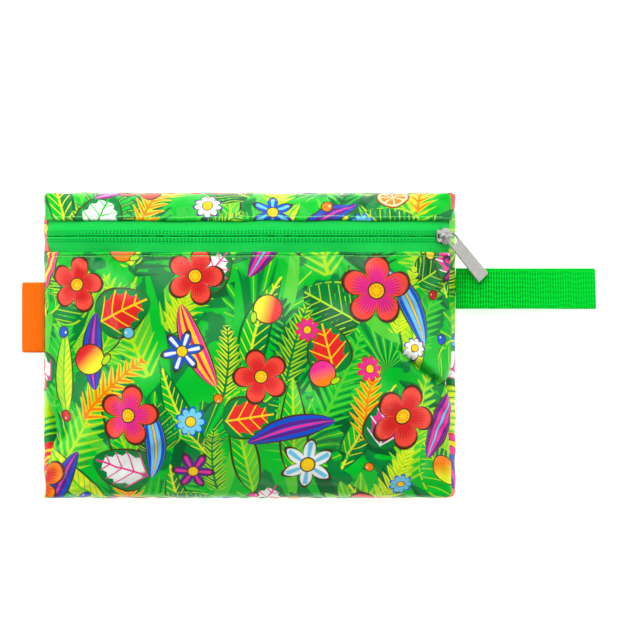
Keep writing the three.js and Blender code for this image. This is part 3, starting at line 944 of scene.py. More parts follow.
def clothTrial():
    # how far each place of the smooth front moves when it is filled; the move is eased off at a cap
    a = np.linspace(-1, 1, trial["columns"])[None, :]
    b = np.linspace(-1, 1, trial["rows"])[:, None]
    a, b = np.broadcast_arrays(a, b)
    start = sewnSkin(a, b, False)
    mesh = bpy.data.meshes.new("skinTrial")
    mesh.from_pydata((start.reshape(-1, 3) * mm).tolist(), [], gridQuads(*a.shape).tolist())
    cloth = newObject("skinTrial", mesh)
    atZip = np.abs(start[..., 1] - zipper["slit"]) < trial["zipHold"]
    held = (np.abs(a) > 0.999) | (np.abs(b) > 0.999) | atZip
    pins = cloth.vertex_groups.new(name="sewn")
    pins.add(np.flatnonzero(held).tolist(), 1.0, "REPLACE")
    modifier = cloth.modifiers.new("fill", "CLOTH")
    cut = modifier.settings
    cut.vertex_group_mass = "sewn"
    cut.quality = trial["quality"]
    cut.mass = trial["mass"]
    cut.tension_stiffness = cut.compression_stiffness = trial["stretch"]
    cut.shear_stiffness = trial["shear"]
    cut.bending_stiffness = trial["bending"]
    cut.air_damping = trial["airDamping"]
    cut.use_pressure = True
    cut.uniform_pressure_force = trial["pressure"]
    cut.shrink_min = -trial["growth"]
    cut.effector_weights.gravity = 0
    modifier.collision_settings.use_collision = False
    for step in range(1, trial["frames"] + 1):
        bpy.context.scene.frame_set(step)
    filled = cloth.evaluated_get(bpy.context.evaluated_depsgraph_get()).data
    places = np.zeros(len(mesh.vertices) * 3, np.float32)
    filled.vertices.foreach_get("co", places)
    bpy.data.objects.remove(cloth)
    bpy.data.meshes.remove(mesh)
    bpy.context.scene.frame_set(1)
    move = places.reshape(start.shape) / mm - start
    size = np.maximum(np.linalg.norm(move, axis=-1, keepdims=True), 1e-6)
    print("cloth trial: moved up to", round(float(size.max()), 2), "mm, mean", round(float(size.mean()), 2))
    return move * trial["cap"] * np.tanh(size / trial["cap"]) / size


skinMove = clothTrial()


def movedBy(a, b):
    # the trial's moves at any place, blended over the four by four nearest of them
    if skinMove is None:
        return 0
    rows, cols = skinMove.shape[:2]

    def spots(share, count):
        at = (np.clip(share, -1, 1) + 1) / 2 * (count - 1)
        low = np.floor(at).astype(int)
        f = at - low
        weights = ((1 - f) ** 3, 3 * f ** 3 - 6 * f ** 2 + 4, 3 * f + 3 * f ** 2 - 3 * f ** 3 + 1, f ** 3)
        return [np.clip(low + k - 1, 0, count - 1) for k in range(4)], [w / 6 for w in weights]

    upAt, upShare = spots(b, rows)
    rightAt, rightShare = spots(a, cols)
    return sum(
        skinMove[i, j] * (p * q)[..., None]
        for i, p in zip(upAt, upShare)
        for j, q in zip(rightAt, rightShare)
    )


def skinPoint(a, b):
    # the front as it lies: sewn, wrinkled and, away from its rim, filled
    fromSide = halfWidth * (1 - np.abs(turnTo(a)))
    fromEnd = halfHeight * (1 - np.abs(turnTo(b)))
    free = stepUp(fromSide, *trial["rimFade"]) * stepUp(fromEnd, *trial["rimFade"])
    return sewnSkin(a, b) + movedBy(a, b) * free[..., None]


# Front panels: printed cloth, each with a rolled hem along the zip

panel = dict(
    columns=260, lowerRows=120, upperRows=26, hemRows=18, hemDepth=6, hemWander=0.3, wanderPitch=47, roll=1.0,
    puff=0.4, puffAt=1.2, puffHalf=0.8, groove=0.35, grooveHalf=0.5, stitchLower=2.5, stitchUpper=2.0,
    stitchPitch=2.9, foldShare=0.4, evenings=300,
)
printShift = {"lower": (0, 0), "upper": (64, 150), "back": (20, -262)}  # where each is cut from the bolt


def arcPlaces(grid, middleRow):
    # arc length along each row and each column, from the middle
    u = np.zeros(grid.shape[:2])
    v = np.zeros(grid.shape[:2])
    u[:, 1:] = np.cumsum(np.linalg.norm(np.diff(grid, axis=1), axis=-1), axis=1)
    v[1:] = np.cumsum(np.linalg.norm(np.diff(grid, axis=0), axis=-1), axis=0)
    u -= u[:, grid.shape[1] // 2][:, None]
    v -= v[middleRow][None]
    return np.stack([u, v], -1)


def evenedOut(values, passes):
    # each value is blended with its four neighbours, again and again
    for _ in range(passes):
        wide = np.pad(values, ((1, 1), (1, 1), (0, 0)), "edge")
        beside = wide[:-2, 1:-1] + wide[2:, 1:-1] + wide[1:-1, :-2] + wide[1:-1, 2:]
        values = (values * 4 + beside) / 8
    return values


def arcFabric(grid, smooth, middleRow):
    # place on the cut cloth: that on the smooth front, plus a share of what the folds add, evened out
    rest = arcPlaces(smooth, middleRow)
    return rest + panel["foldShare"] * evenedOut(arcPlaces(grid, middleRow) - rest, panel["evenings"])


def hemLine(a, edge):
    # the hem wanders a little along the zip
    x = turnTo(a) * halfWidth
    return edge + panel["hemWander"] * ripple(x, panel["wanderPitch"], int(edge))


def hemLift(distance, stitchAt):
    # height of the hem: rolled down at its edge, puffed behind it and drawn in along the stitches
    inward = np.clip(1 - distance / panel["roll"], 0, 1)
    rolled = -panel["roll"] * (1 - np.sqrt(1 - inward ** 2))
    puffed = panel["puff"] * hump(distance, panel["puffAt"], panel["puffHalf"])
    return rolled + puffed - panel["groove"] * hump(distance, stitchAt, panel["grooveHalf"])


def frontPanel(name, node, edge, end, rows, stitchAt, shift):
    # rows run from the outer end to the hem, and crowd at the hem
    a = np.linspace(-1, 1, panel["columns"])[None, :]
    line = hemLine(a, edge)
    side = -1 if end < 0 else 1
    start = alongAt(line + side * panel["hemDepth"])
    wide = end + (start - end) * np.linspace(0, 1, rows)[:, None]
    close = panel["hemDepth"] * np.linspace(1, 0, panel["hemRows"])[1:, None] ** 1.4
    b = np.concatenate([wide, alongAt(line + side * close)])
    a = np.broadcast_to(a, b.shape)
    away = np.abs(turnTo(b) * halfHeight - line)
    if side > 0:
        a, b, away = a[::-1], b[::-1], away[::-1]
    grid = skinPoint(a, b)
    middleRow = int(np.argmin(np.abs(grid[:, a.shape[1] // 2, 1])))
    fabric = arcFabric(grid, frontRest(a, b, False), middleRow) + np.array(shift)
    outer = grid + gridNormals(grid) * hemLift(away, stitchAt)[..., None]
    inner = outer - gridNormals(grid) * pouch["cloth"]
    piece = printOnto(*sheetPiece(name, outer, inner, fabric, printFabric, node))


frontPanel("front_lower_cloth", "front_lower_panel", zipper["lowerEdge"], -1.0, panel["lowerRows"],
           panel["stitchLower"], printShift["lower"])
frontPanel("front_upper_cloth", "front_upper_panel", zipper["upperEdge"], 1.0, panel["upperRows"],
           panel["stitchUpper"], printShift["upper"])
print("front panels made")


# Back and side walls: one printed cloth from the seam down to the flat face

back = dict(
    columns=250, rows=190, wall=0.34, rim=1.65, sewnBy=0.18, dives=(3, 7), diveBy=0.06, tuckDive=2.5,
    tuckDrop=9, endSwell=0.6, pucker=0.35, puckerPitch=13,
)

# the wall from the seam down: share of the way, swell past the seam, inset, height
backWall = [
    (0.0, 0.0, 0.0, 14.6),
    (0.16, 0.6, 0.0, 11.2),
    (0.32, 1.0, 0.0, 8.0),
    (0.5, 1.0, 1.2, 4.4),
    (0.66, 1.0, 4.2, 1.6),
    (0.82, 1.0, 9.0, 0.3),
    (1.0, 1.0, 14.0, 0.0),
]


def backPanel():
    # square rings: those in the outer third are the wall, dropping from the seam, the rest is the flat face
    a = turnTo(np.linspace(-1, 1, back["columns"]))[None, :]
    b = turnTo(np.linspace(-1, 1, back["rows"]))[:, None]
    ring = np.maximum(np.maximum(np.abs(a), np.abs(b)), 1e-6)
    rimA, rimB = a / ring, b / ring
    share = np.clip((1 - ring) / back["wall"], 0, 1)
    table = np.array(backWall)
    swell, inset, z = (throughTable(share, table[:, 0], table[:, k]) for k in (1, 2, 3))
    # the rim is sewn under the front's edge; at a tuck the wall first dives in below it
    edge = frontRest(turnFrom(rimA), turnFrom(rimB))
    sideSwell = halfWidth - seamHalfWidth(rimA, edge[..., 1])
    outward = normalOf(frontRest, turnFrom(rimA), turnFrom(rimB))
    dive = (stepUp(sideSwell, *back["dives"]) * rimA ** 8 * stepUp(share, 0, back["diveBy"]))[..., None]
    tucked = edge - outward * (back["rim"] + back["tuckDive"] * dive) - back["tuckDrop"] * dive * (0, 0, 1)
    x = edge[..., 0] + np.sign(rimA) * rimA ** 6 * sideSwell * swell
    y = edge[..., 1] + np.sign(rimB) * rimB ** 6 * back["endSwell"] * swell
    around = np.arctan2(y, x) * 110
    fuller = back["pucker"] * ripple(around, back["puckerPitch"], 17)
    fuller = fuller * np.sin(np.pi * np.clip(share * 1.6, 0, 1))
    inFlat = np.minimum(ring / (1 - back["wall"]), 1)  # the flat face shrinks ring by ring to its middle
    x = x * (1 - (inset - fuller) / halfWidth) * inFlat
    y = y * (1 - (inset - fuller) / halfHeight) * inFlat
    wall = np.stack([x, y, z], -1)
    under = stepUp(share, 0, back["sewnBy"])[..., None]
    outer = tucked * (1 - under) + wall * under
    inner = outer + gridNormals(outer) * pouch["cloth"]
    # laid flat, the wall spreads outwards by its own length
    length = runLength(table[:, 2:])
    spread = np.interp(share, table[:, 0], length[-1] - length)
    fabric = np.stack([x + rimA * spread, y + rimB * spread], -1) + np.array(printShift["back"])
    outer, inner, fabric = (grid[:, ::-1] for grid in (outer, inner, fabric))
    sheet = sheetPiece("back_cloth", outer, inner, fabric, printFabric, "back_panel")
    piece = printOnto(*sheet)


backPanel()
print("back made")


# Zip: two woven tapes over hidden coils, with the rows of stitches that hold the coils

# the hole colour is painted shade for the needle holes; the float colour and its numbers give a painted sheen
# on the floats
woven = dict(
    gloss=0.08, twill=1.3, holeShade=tone(0, 70, 20), sheenPitch=1.8, sheenFrom=4.5, sheenSoft=3.0,
    float=tone(90, 234, 126),
)


def tapeShadeAndSheen(colour, u, v):
    # painted shade in the needle holes along each stitch row, and a painted sheen on the floats beyond them
    pitch = zipper["stitchPitch"]
    step = (u * (1 / pitch)).zigzag() * (pitch / 2 / zipper["holeLong"])
    for row in zipper["stitchRows"]:
        away = (abs(v) - row) * (1 / zipper["holeWide"])
        colour = paint(colour, away.longer(step).below(1.0, 0.3), woven["holeShade"])
    often = 1 / woven["sheenPitch"]
    floats = ((u + v) * often).zigzag() * ((u - v) * often).zigzag()
    # painted sheen on the floats, stronger towards the hems
    paintedSheen = floats.above(0.4, 0.25) * abs(v).above(woven["sheenFrom"], woven["sheenSoft"]) * 0.4
    return paint(colour, paintedSheen, woven["float"])


def wovenMaterial(name, base, shade, pitch, roughness, depth, sewn=False):
    # woven band: a weave and a slanted twill in its own colour and its shade, with painted shade in the
    # needle holes and a painted sheen on the floats where it is sewn
    material, tree, shader = newMaterial(name, **{"Specular IOR Level": woven["gloss"]})
    cut = readNode(tree, "ShaderNodeUVMap", 0, uv_map="cut")
    threads = placeGroup(tree, weave, Cut=cut, Pitch=pitch)
    cloud = noise(cut, 0.12, 3.0)
    u, v, _ = splitVector(cut)
    twill = ((u + v) * (1 / woven["twill"])).zigzag() * 0.3
    colour = paint(base, (1.0 - threads["Height"]) * 0.4 + cloud * 0.2 + twill - 0.16, shade)
    if sewn:
        colour = tapeShadeAndSheen(colour, u, v)
    dress(shader, colour, cloud * 0.2 + (roughness - 0.1))
    addBump(tree, shader, threads["Height"], depth, 0.7)
    return material


zipTapeCloth = wovenMaterial("zipTapeCloth", tone(4, 212, 80), tone(0, 158, 46),
                             pitch=0.55, roughness=0.62, depth=0.00008, sewn=True)
zipThread = wovenMaterial("zipThread", tone(40, 222, 100), tone(8, 168, 60),
                          pitch=0.2, roughness=0.5, depth=0.00003)
topThread = wovenMaterial("topThread", tone(140, 238, 130), tone(70, 200, 80),
                          pitch=0.2, roughness=0.5, depth=0.00003)


def slitHalfGap(a):
    # half the gap between the tapes, which opens round the slider's post
    x = turnTo(a) * (halfWidth - pouch["rightInset"])
    opened = stepUp(x, zipper["openFrom"], zipper["openTo"])
    closed = zipper["slitGap"] * (1 + 0.5 * ripple(x, 9, 6))
    return (closed + (zipper["openGap"] - closed) * opened) / 2


def sunkSkin(a, y, depth):
    # points a given depth below the front skin, with the skin's normals
    b = alongAt(y)
    a, b = np.broadcast_arrays(a, b)
    normals = normalOf(skinPoint, a, b)
    return skinPoint(a, b) - normals * np.asarray(depth)[..., None], normals


def tapeSink(distance):
    # depth of the tape: it rolls down at the slit, rides up over the coil and sinks towards the hem
    inward = np.clip(1 - distance / zipper["edgeRoll"], 0, 1)
    overCoil = np.clip(1 - ((distance - zipper["humpAt"]) / zipper["humpHalf"]) ** 2, 0, 1)
    relief = zipper["coilHump"] * overCoil - zipper["rollDrop"] * (1 - np.sqrt(1 - inward ** 2))
    return zipper["tapeDepth"] - relief + zipper["tapeTilt"] * stepUp(distance, *zipper["tilts"])


def slitArc():
    # length along the slit from its middle, for steps of the cloth's own share across
    a = np.linspace(-1, 1, 1500)
    line = skinPoint(a, np.full(a.shape, alongAt(zipper["slit"])))
    length = runLength(line)
    return a, length - np.interp(0, a, length)


def zipTape(name, node, side, edge):
    # rows run from the slit to under the hem, crowding at the slit
    end = turnFrom(zipper["tapeReach"])
    a = np.linspace(-end, end, zipper["columns"])[None, :]
    reach = abs(edge - zipper["slit"]) + zipper["underHem"]
    distance = reach * np.linspace(0, 1, zipper["rows"])[:, None] ** 1.5 + 0 * a
    y = zipper["slit"] + side * (slitHalfGap(a) + distance)
    wave = zipper["wave"] * ripple(turnTo(a) * halfWidth, zipper["wavePitch"], 4 + side)
    wave = wave * stepUp(distance, *zipper["waves"])
    outer, normals = sunkSkin(a, y, tapeSink(distance) - wave)
    fabric = np.stack([np.interp(a, *slitArc()) + 0 * y, side * distance], -1)
    if side < 0:
        outer, normals, fabric = outer[::-1], normals[::-1], fabric[::-1]
    inner = outer - normals * zipper["tape"]
    piece, _ = sheetPiece(name, outer, inner, fabric, zipTapeCloth, node)


def zipCoil(name, node, side):
    # a spring of oval turns along the underside of the tape
    end = zipper["coilReach"] * halfWidth
    turns = 2 * end / zipper["coilPitch"]
    share = np.linspace(0, 1, int(turns * 14))
    a = turnFrom(end * (2 * share - 1) / (halfWidth - pouch["rightInset"]) * 0.98)
    y = zipper["slit"] + side * (slitHalfGap(a) + 0.25 + zipper["coilWide"])
    middle, normals = sunkSkin(a, y, np.full(a.shape, zipper["coilDepth"]))
    turn = (2 * np.pi * turns * share)[:, None]
    north = np.array([0, side, 0])
    path = middle + zipper["coilWide"] * np.cos(turn) * north + zipper["coilTall"] * np.sin(turn) * normals
    along = np.broadcast_to(unit(np.gradient(middle, axis=0)), path.shape)
    points, faces = tubes(path[None], along[None], zipper["coilWire"], zipper["coilWire"], 6)
    makePiece(name, points, faces, coilPlastic, [node])


def coilMaterial():
    # dyed nylon, a little uneven
    material, tree, shader = newMaterial("coilPlastic", **{"Specular IOR Level": 0.4})
    place = readNode(tree, "ShaderNodeTexCoord", "Object")
    colour = paint(tone(10, 150, 56), noise(place, 400.0), tone(16, 186, 74))
    dress(shader, colour, noise(place, 900.0) * 0.2 + 0.35)
    return material


def stitchRow(x, y, depth, length, radius, rise, steps=7, sides=6):
    # short threads lying on the skin, each arched a little and rounded off at its ends
    share = np.linspace(-1, 1, steps)
    half = np.broadcast_to(length, x.shape)[:, None] / 2
    a = turnFrom((x[:, None] + share[None] * half) / halfWidth)
    y = np.broadcast_to(y[:, None], a.shape)
    lift = rise * (1 - share ** 2) - depth
    paths, normals = sunkSkin(a, y, np.broadcast_to(-lift, a.shape))
    swell = np.sqrt(np.maximum(1 - np.abs(share) ** 3, 0.04)) * radius
    return tubes(paths, normals, swell[None], swell[None], sides)


def makeZip():
    zipTape("zip_tape_upper_cloth", "zip_tape_upper", 1, zipper["upperEdge"])
    zipTape("zip_tape_lower_cloth", "zip_tape_lower", -1, zipper["lowerEdge"])
    zipCoil("zip_coil_upper_spring", "zip_coil_upper", 1)
    zipCoil("zip_coil_lower_spring", "zip_coil_lower", -1)
    pitch = zipper["stitchPitch"]
    share, length = slitArc()
    count = np.arange(-59, 56) + 0.5  # the last stitches on the right end under the slider
    x = turnTo(np.interp(count * pitch, length, share)) * halfWidth
    rows = []
    for side in (1, -1):
        for row in zipper["stitchRows"]:
            y = zipper["slit"] + side * (slitHalfGap(turnFrom(x / halfWidth)) + row)
            thread = np.gradient(x) * zipper["stitchShare"]
            rows.append(stitchRow(x, y, tapeSink(row), thread, radius=0.2, rise=0.1))
    points, faces = joinParts(*rows)
    makePiece("zip_stitches", points, faces, zipThread, uv=points[:, :2])


def makeTopStitches():
    pitch = panel["stitchPitch"]
    x = np.arange(-41, 42) * pitch
    lower = hemLine(turnFrom(x / halfWidth), zipper["lowerEdge"]) - panel["stitchLower"]
    upper = hemLine(turnFrom(x / halfWidth), zipper["upperEdge"]) + panel["stitchUpper"]
    depth, length = panel["groove"] - 0.1, pitch + 0.1
    rows = [stitchRow(x, y, depth, length, radius=0.25, rise=0.1) for y in (lower, upper)]
    points, faces = joinParts(*rows)
    makePiece("hem_stitches", points, faces, topThread, uv=points[:, :2])


coilPlastic = coilMaterial()
makeZip()
makeTopStitches()
print("zip made")


# Slider and pull: cast metal

def brushedGroup():
    # fine scratches along one direction, with duller blotches
    group, source, target = newGroup("brushed", {"Place": "Vector"}, {"Scratch": "Float", "Blotch": "Float"})
    x, y, z = splitVector(Wire(source["Place"]))
    node = group.nodes.new("ShaderNodeCombineXYZ")
    for socket, wire in zip(node.inputs, (x * 0.06, y, z * 0.06)):
        feed(socket, wire)
    feed(target["Scratch"], noise(Wire(node.outputs[0]), 9000.0, 2.0))
    feed(target["Blotch"], noise(Wire(source["Place"]), 420.0, 3.0))
    return group


brushed = brushedGroup()


def metalMaterial(name, low, high, roughness):
    material, tree, shader = newMaterial(name, **{"Metallic": 1.0})
    marks = placeGroup(tree, brushed, Place=readNode(tree, "ShaderNodeTexCoord", "Object"))
    colour = paint(low, marks["Blotch"] * 0.7 + marks["Scratch"] * 0.3, high)
    dress(shader, colour, marks["Scratch"] * 0.14 + roughness)
    addBump(tree, shader, marks["Scratch"], 0.00002, 0.5)
    return material


sliderMetal = metalMaterial("sliderMetal", tone(150, 149, 146), tone(190, 189, 186), 0.26)
pullMetal = metalMaterial("pullMetal", tone(164, 163, 160), tone(204, 203, 199), 0.5)

slider = dict(
    length=12.4, rearWidth=7.4, frontWidth=10.4, centreX=118.3, sunk=1.65, plateBase=0.3, plate=1.6,
    lowerPlate=1.0, chainDepth=3.85, round=0.55, bridgeReach=4.55, bridgeTop=5.65, bridgeThick=0.55,
    bridgeHalf=0.72, rearHalf=1.5, postX=3.6, postHalf=(1.1, 0.65), lowerRound=0.35, wellX=-4.7,
    wellHalf=(0.75, 0.8), wellDepth=1.0,
)


def sliderFrame():
    # the slider's own axes: along the zip, up the pouch and out of the cloth
    b = alongAt(zipper["slit"])
    a = turnFrom(slider["centreX"] / seamHalfWidth(1, zipper["slit"]))
    out = normalOf(frontRest, a, b)
    east = unit(frontRest(a + 0.01, b) - frontRest(a - 0.01, b))
    north = unit(np.cross(out, east))
    return np.stack([east, north, out]), frontRest(a, b) - out * slider["sunk"]


def curveTo(start, handle, end, count):
    # quadratic curve from start to end, without its last point
    t = np.arange(count)[:, None] / count
    return (1 - t) ** 2 * np.array(start) + 2 * t * (1 - t) * np.array(handle) + t * t * np.array(end)


def evenLoop(outline, count):
    # points evenly spaced round a closed outline
    closed = np.concatenate([outline, outline[:1]])
    length = runLength(closed)
    at = np.arange(count) / count * length[-1]
    return np.stack([np.interp(at, length, closed[:, k]) for k in (0, 1)], -1)


def sliderPlan():
    # narrow over the closed chain, with round shoulders in front
    rear, front = -slider["length"] / 2, slider["length"] / 2
    narrow, wide = slider["rearWidth"] / 2, slider["frontWidth"] / 2
    lower = np.concatenate([
        [(rear, -narrow + 0.8)],
        curveTo((rear, -narrow + 0.8), (rear, -narrow), (rear + 0.8, -narrow), 6),
        curveTo((rear + 4, -narrow), (rear + 4.6, -wide), (rear + 7, -wide), 10),
        curveTo((rear + 7, -wide), (front - 1, -wide), (front, -narrow * 0.6), 14),
        [(front, -narrow * 0.6)],
    ])
    return evenLoop(np.concatenate([lower, lower[::-1] * (1, -1)]), 96)


def roundedPlate(plan, low, high, edge, dent=None):
    # rings from the middle of the underside out, round the edge and back to the middle of the top
    swing = np.linspace(-90, 90, 9) * np.pi / 180
    inset = edge * (1 - np.cos(swing))
    z = np.where(swing < 0, low + edge, high - edge) + edge * np.sin(swing)
    middle = np.linspace(0.06, 1, 12)
    reach = np.linalg.norm(plan, axis=1, keepdims=True)
    rim = plan[None] * (1 - inset[:, None, None] / reach[None])
    flat = middle[:-1, None, None] * rim[0][None]
    rings = np.concatenate([flat, rim, flat[::-1]])
    heights = np.concatenate([np.full(len(flat), low), z, np.full(len(flat), high)])
    heights = np.broadcast_to(heights[:, None], rings.shape[:2]).copy()
    if dent is not None:
        top = np.arange(len(rings)) > len(flat) + 5
        heights[top] -= dent(rings[top])
    return ringStacks(np.concatenate([rings, heights[..., None]], -1)[None])


def lockHole(xy):
    # the small square well behind the bridge
    x, y = xy[..., 0] - slider["wellX"], xy[..., 1]
    halfX, halfY = slider["wellHalf"]
    return slider["wellDepth"] * np.exp(-(x / halfX) ** 4 - (y / halfY) ** 4)


def makeSlider():
    axes, origin = sliderFrame()
    plan = sliderPlan()
    base = slider["plateBase"]
    top = roundedPlate(plan, base, base + slider["plate"], slider["round"], lockHole)
    low = -slider["chainDepth"]
    bottom = roundedPlate(plan, low - slider["lowerPlate"], low, slider["lowerRound"])
    # the bridge is an arch with square shoulders, wider at its rear foot
    swing = np.linspace(np.pi, 0, 40)
    c, s = np.cos(swing), np.sin(swing)
    x = slider["bridgeReach"] * np.sign(c) * np.abs(c) ** 0.5
    z = base + slider["plate"] - 0.5 + (slider["bridgeTop"] - base - slider["plate"] + 0.5) * np.abs(s) ** 0.5
    arch = np.stack([x, 0 * x, z], -1)
    half = slider["bridgeHalf"] + (slider["rearHalf"] - slider["bridgeHalf"]) * stepUp(-x, 0.5, 3.6)
    out = unit(np.stack([c, 0 * c, s + 0.05], -1))
    bridge = tubes(arch[None], out[None], half[None], np.full((1, 40), slider["bridgeThick"]), 16, 0.6)
    px, py = slider["postHalf"]
    corners = np.linspace(0, 2 * np.pi, 24, endpoint=False)
    oval = np.stack([px * np.cos(corners) + slider["postX"], py * np.sin(corners)], -1)
    levels = np.array([low - 0.3, base + 0.3])
    post = np.concatenate([np.tile(oval, (2, 1, 1)), np.broadcast_to(levels[:, None, None], (2, 24, 1))], -1)
    points, faces = joinParts(top, bottom, bridge, ringStacks(post[None]))
    makePiece("zip_slider_cast", points @ axes + origin, faces, sliderMetal, ["zip_slider"],
              uv=points[:, :2])
    return axes, origin


pull = dict(
    length=34, width=9, eyeEndWidth=8.2, thickness=1.2, bar=1.3, eyeLength=6, eyeWidth=5.8, swing=-55,
    lift=17, roll=12, pivot=(2.2, 0.6, 3.5), round=0.4,
)


def turnAbout(axis, degrees):
    # turning matrix about one of the three axes
    c, s = cosSin(degrees)
    i, j = [(1, 2), (2, 0), (0, 1)][axis]
    matrix = np.eye(3)
    matrix[i, i] = matrix[j, j] = c
    matrix[i, j], matrix[j, i] = -s, s
    return matrix


def sidedLoop(left, right, lowLeft, lowRight, corner, farCorner, count):
    # rounded trapezium, its points shared out evenly over its four sides, from the middle of the left end
    def end(x, half, bend, flip):
        y = np.linspace(-half, half, count)
        back = np.clip(np.abs(y) - (half - bend), 0, None) / bend
        x = x + flip * bend * (1 - np.sqrt(1 - np.minimum(back, 1) ** 2))
        return np.stack([x, y], -1)

    leftEnd = end(left, lowLeft, corner, 1)[::-1]
    rightEnd = end(right, lowRight, farCorner, -1)
    share = np.linspace(0, 1, count + 2)[1:-1, None]
    lower = leftEnd[-1] + (rightEnd[0] - leftEnd[-1]) * share
    upper = rightEnd[-1] + (leftEnd[0] - rightEnd[-1]) * share
    return np.concatenate([leftEnd, lower, rightEnd, upper])


def loopNormals(loop):
    # outward directions of a closed outline, square to the way between each point's neighbours
    ahead = unit(np.roll(loop, -1, 0) - np.roll(loop, 1, 0))
    return np.stack([ahead[:, 1], -ahead[:, 0]], -1)


def makePull(axes, origin):
    # a flat band between the eye's outline and the outer outline, with rounded edges all round
    end = -pull["bar"] / 2
    outer = sidedLoop(end, pull["length"], pull["eyeEndWidth"] / 2, pull["width"] / 2, 2.6, 0.8, 24)
    near = pull["bar"] / 2
    eye = sidedLoop(near, near + pull["eyeLength"], pull["eyeWidth"] / 2, pull["eyeWidth"] / 2, 0.8, 2.6, 24)
    outward, inward = loopNormals(outer), loopNormals(eye)
    half, edge = pull["thickness"] / 2, pull["round"]
    swing = np.linspace(0, np.pi, 11)
    lift = np.cos(swing)
    z = np.sign(lift) * (half - edge) + edge * lift
    inset = edge * (1 - np.sin(swing))
    outerRings = outer[None] - outward[None] * inset[:, None, None]
    eyeRings = (eye[None] + inward[None] * inset[:, None, None])[::-1]
    mid = np.linspace(0, 1, 8)[1:-1, None, None]
    over = eyeRings[-1] + (outerRings[0] - eyeRings[-1]) * mid
    under = outerRings[-1] + (eyeRings[0] - outerRings[-1]) * mid
    rings = np.concatenate([outerRings, under, eyeRings, over])
    heights = np.concatenate([z, np.full(len(mid), -half), z[::-1], np.full(len(mid), half)])
    points = np.concatenate([rings, np.broadcast_to(heights[:, None, None], (*rings.shape[:2], 1))], -1)
    faces = gridQuads(*rings.shape[:2], loopCols=True, loopRows=True)[:, ::-1]
    points = points.reshape(-1, 3)
    turn = turnAbout(2, pull["swing"]) @ turnAbout(1, -pull["lift"]) @ turnAbout(0, pull["roll"])
    placed = (points @ turn.T + np.array(pull["pivot"])) @ axes + origin
    makePiece("zip_pull_plate", placed, faces, pullMetal, ["zip_pull"], body="pull",
              uv=points[:, :2])


makePull(*makeSlider())
print("slider and pull made")


# Carrying loop: ribbed webbing, folded back on itself

# the last number is the share of the webbing's painted shade that is left at the fold
strap = dict(
    width=25, thickness=1.4, centreY=34.6, ribPitch=1.6, rib=0.22, dash=2.87, scallop=0.035, skew=0.4,
    columns=620, rows=72, foldAt=87, shadeAtFold=0.45,
)

# the loop's centreline: x, z
strapRoute = [
    (126.2, 7.4), (128.8, 9.2), (133, 11.6), (138, 12.9), (145, 13.4), (153, 13.2), (162, 12.3), (174, 10.2),
    (187, 7.2), (199, 4.9), (207, 4.1), (210.6, 3.4), (210.8, 1.8), (207.4, 0.95), (196, 0.9), (180, 0.9),
    (164, 0.9), (150, 0.95), (140, 1.4), (133, 2.5), (128.2, 4.2), (126, 5.3),
]


def routeNormals(route):
    # directions square to a line of points, to the left of its way
    ahead = unit(np.gradient(route, axis=0))
    return np.stack([-ahead[:, 1], ahead[:, 0]], -1)


def evenRoute(knots, count):
    # smooth curve through the knots, cut into even steps; returns places, outward normals and lengths
    knots = np.array(knots, float)
    chord = np.concatenate([[0], np.cumsum(np.linalg.norm(np.diff(knots, axis=0), axis=1) ** 0.5)])
    fine = np.linspace(0, chord[-1], 4000)
    curve = np.stack([throughTable(fine, chord, knots[:, k]) for k in (0, 1)], -1)
    length = runLength(curve)
    at = np.linspace(0, length[-1], count)
    place = np.stack([np.interp(at, length, curve[:, k]) for k in (0, 1)], -1)
    return place, routeNormals(place), at


def bandAlong(place, normal, y, lift):
    # a band across the route: rows at the given y, raised along the route's normal
    x = place[None, :, 0] + normal[None, :, 0] * lift
    z = place[None, :, 1] + normal[None, :, 1] * lift
    return np.stack([x, np.broadcast_to(y, x.shape), z], -1)


def webbingMaterial():
    # dyed nylon ribs, with painted shade in the valleys between them and darker painted shade in the gaps
    # between the short weft floats
    material, tree, shader = newMaterial("webbingGreen", **{"Specular IOR Level": 0.03})
    cut = readNode(tree, "ShaderNodeUVMap", 0, uv_map="cut")
    u, v, _ = splitVector(cut)
    valley = 1.0 - (u * (1 / strap["ribPitch"])).zigzag()
    dash = (v * (1 / strap["dash"]) + noise(cut, 0.11, 1.0) * 1.6).zigzag()
    # the painted shade shows least at the fold, where the valleys get more light
    shadeShown = abs(u - strap["foldAt"]) * ((1 - strap["shadeAtFold"]) / strap["foldAt"]) + strap["shadeAtFold"]
    # painted shade in the valleys between the ribs, then darker painted shade in the gaps of the dashes
    colour = paint(tone(0, 224, 55), valley.above(0.7, 0.3) * shadeShown, tone(0, 160, 22))
    colour = paint(colour, dash.below(0.45, 0.3) * valley.above(0.5, 0.3) * shadeShown * 0.7, tone(0, 84, 2))
    dress(shader, colour, noise(cut, 1.2) * 0.2 + 0.55)
    threads = placeGroup(tree, weave, Cut=cut, Pitch=0.3)
    addBump(tree, shader, threads["Height"], 0.00006, 0.6)
    return material


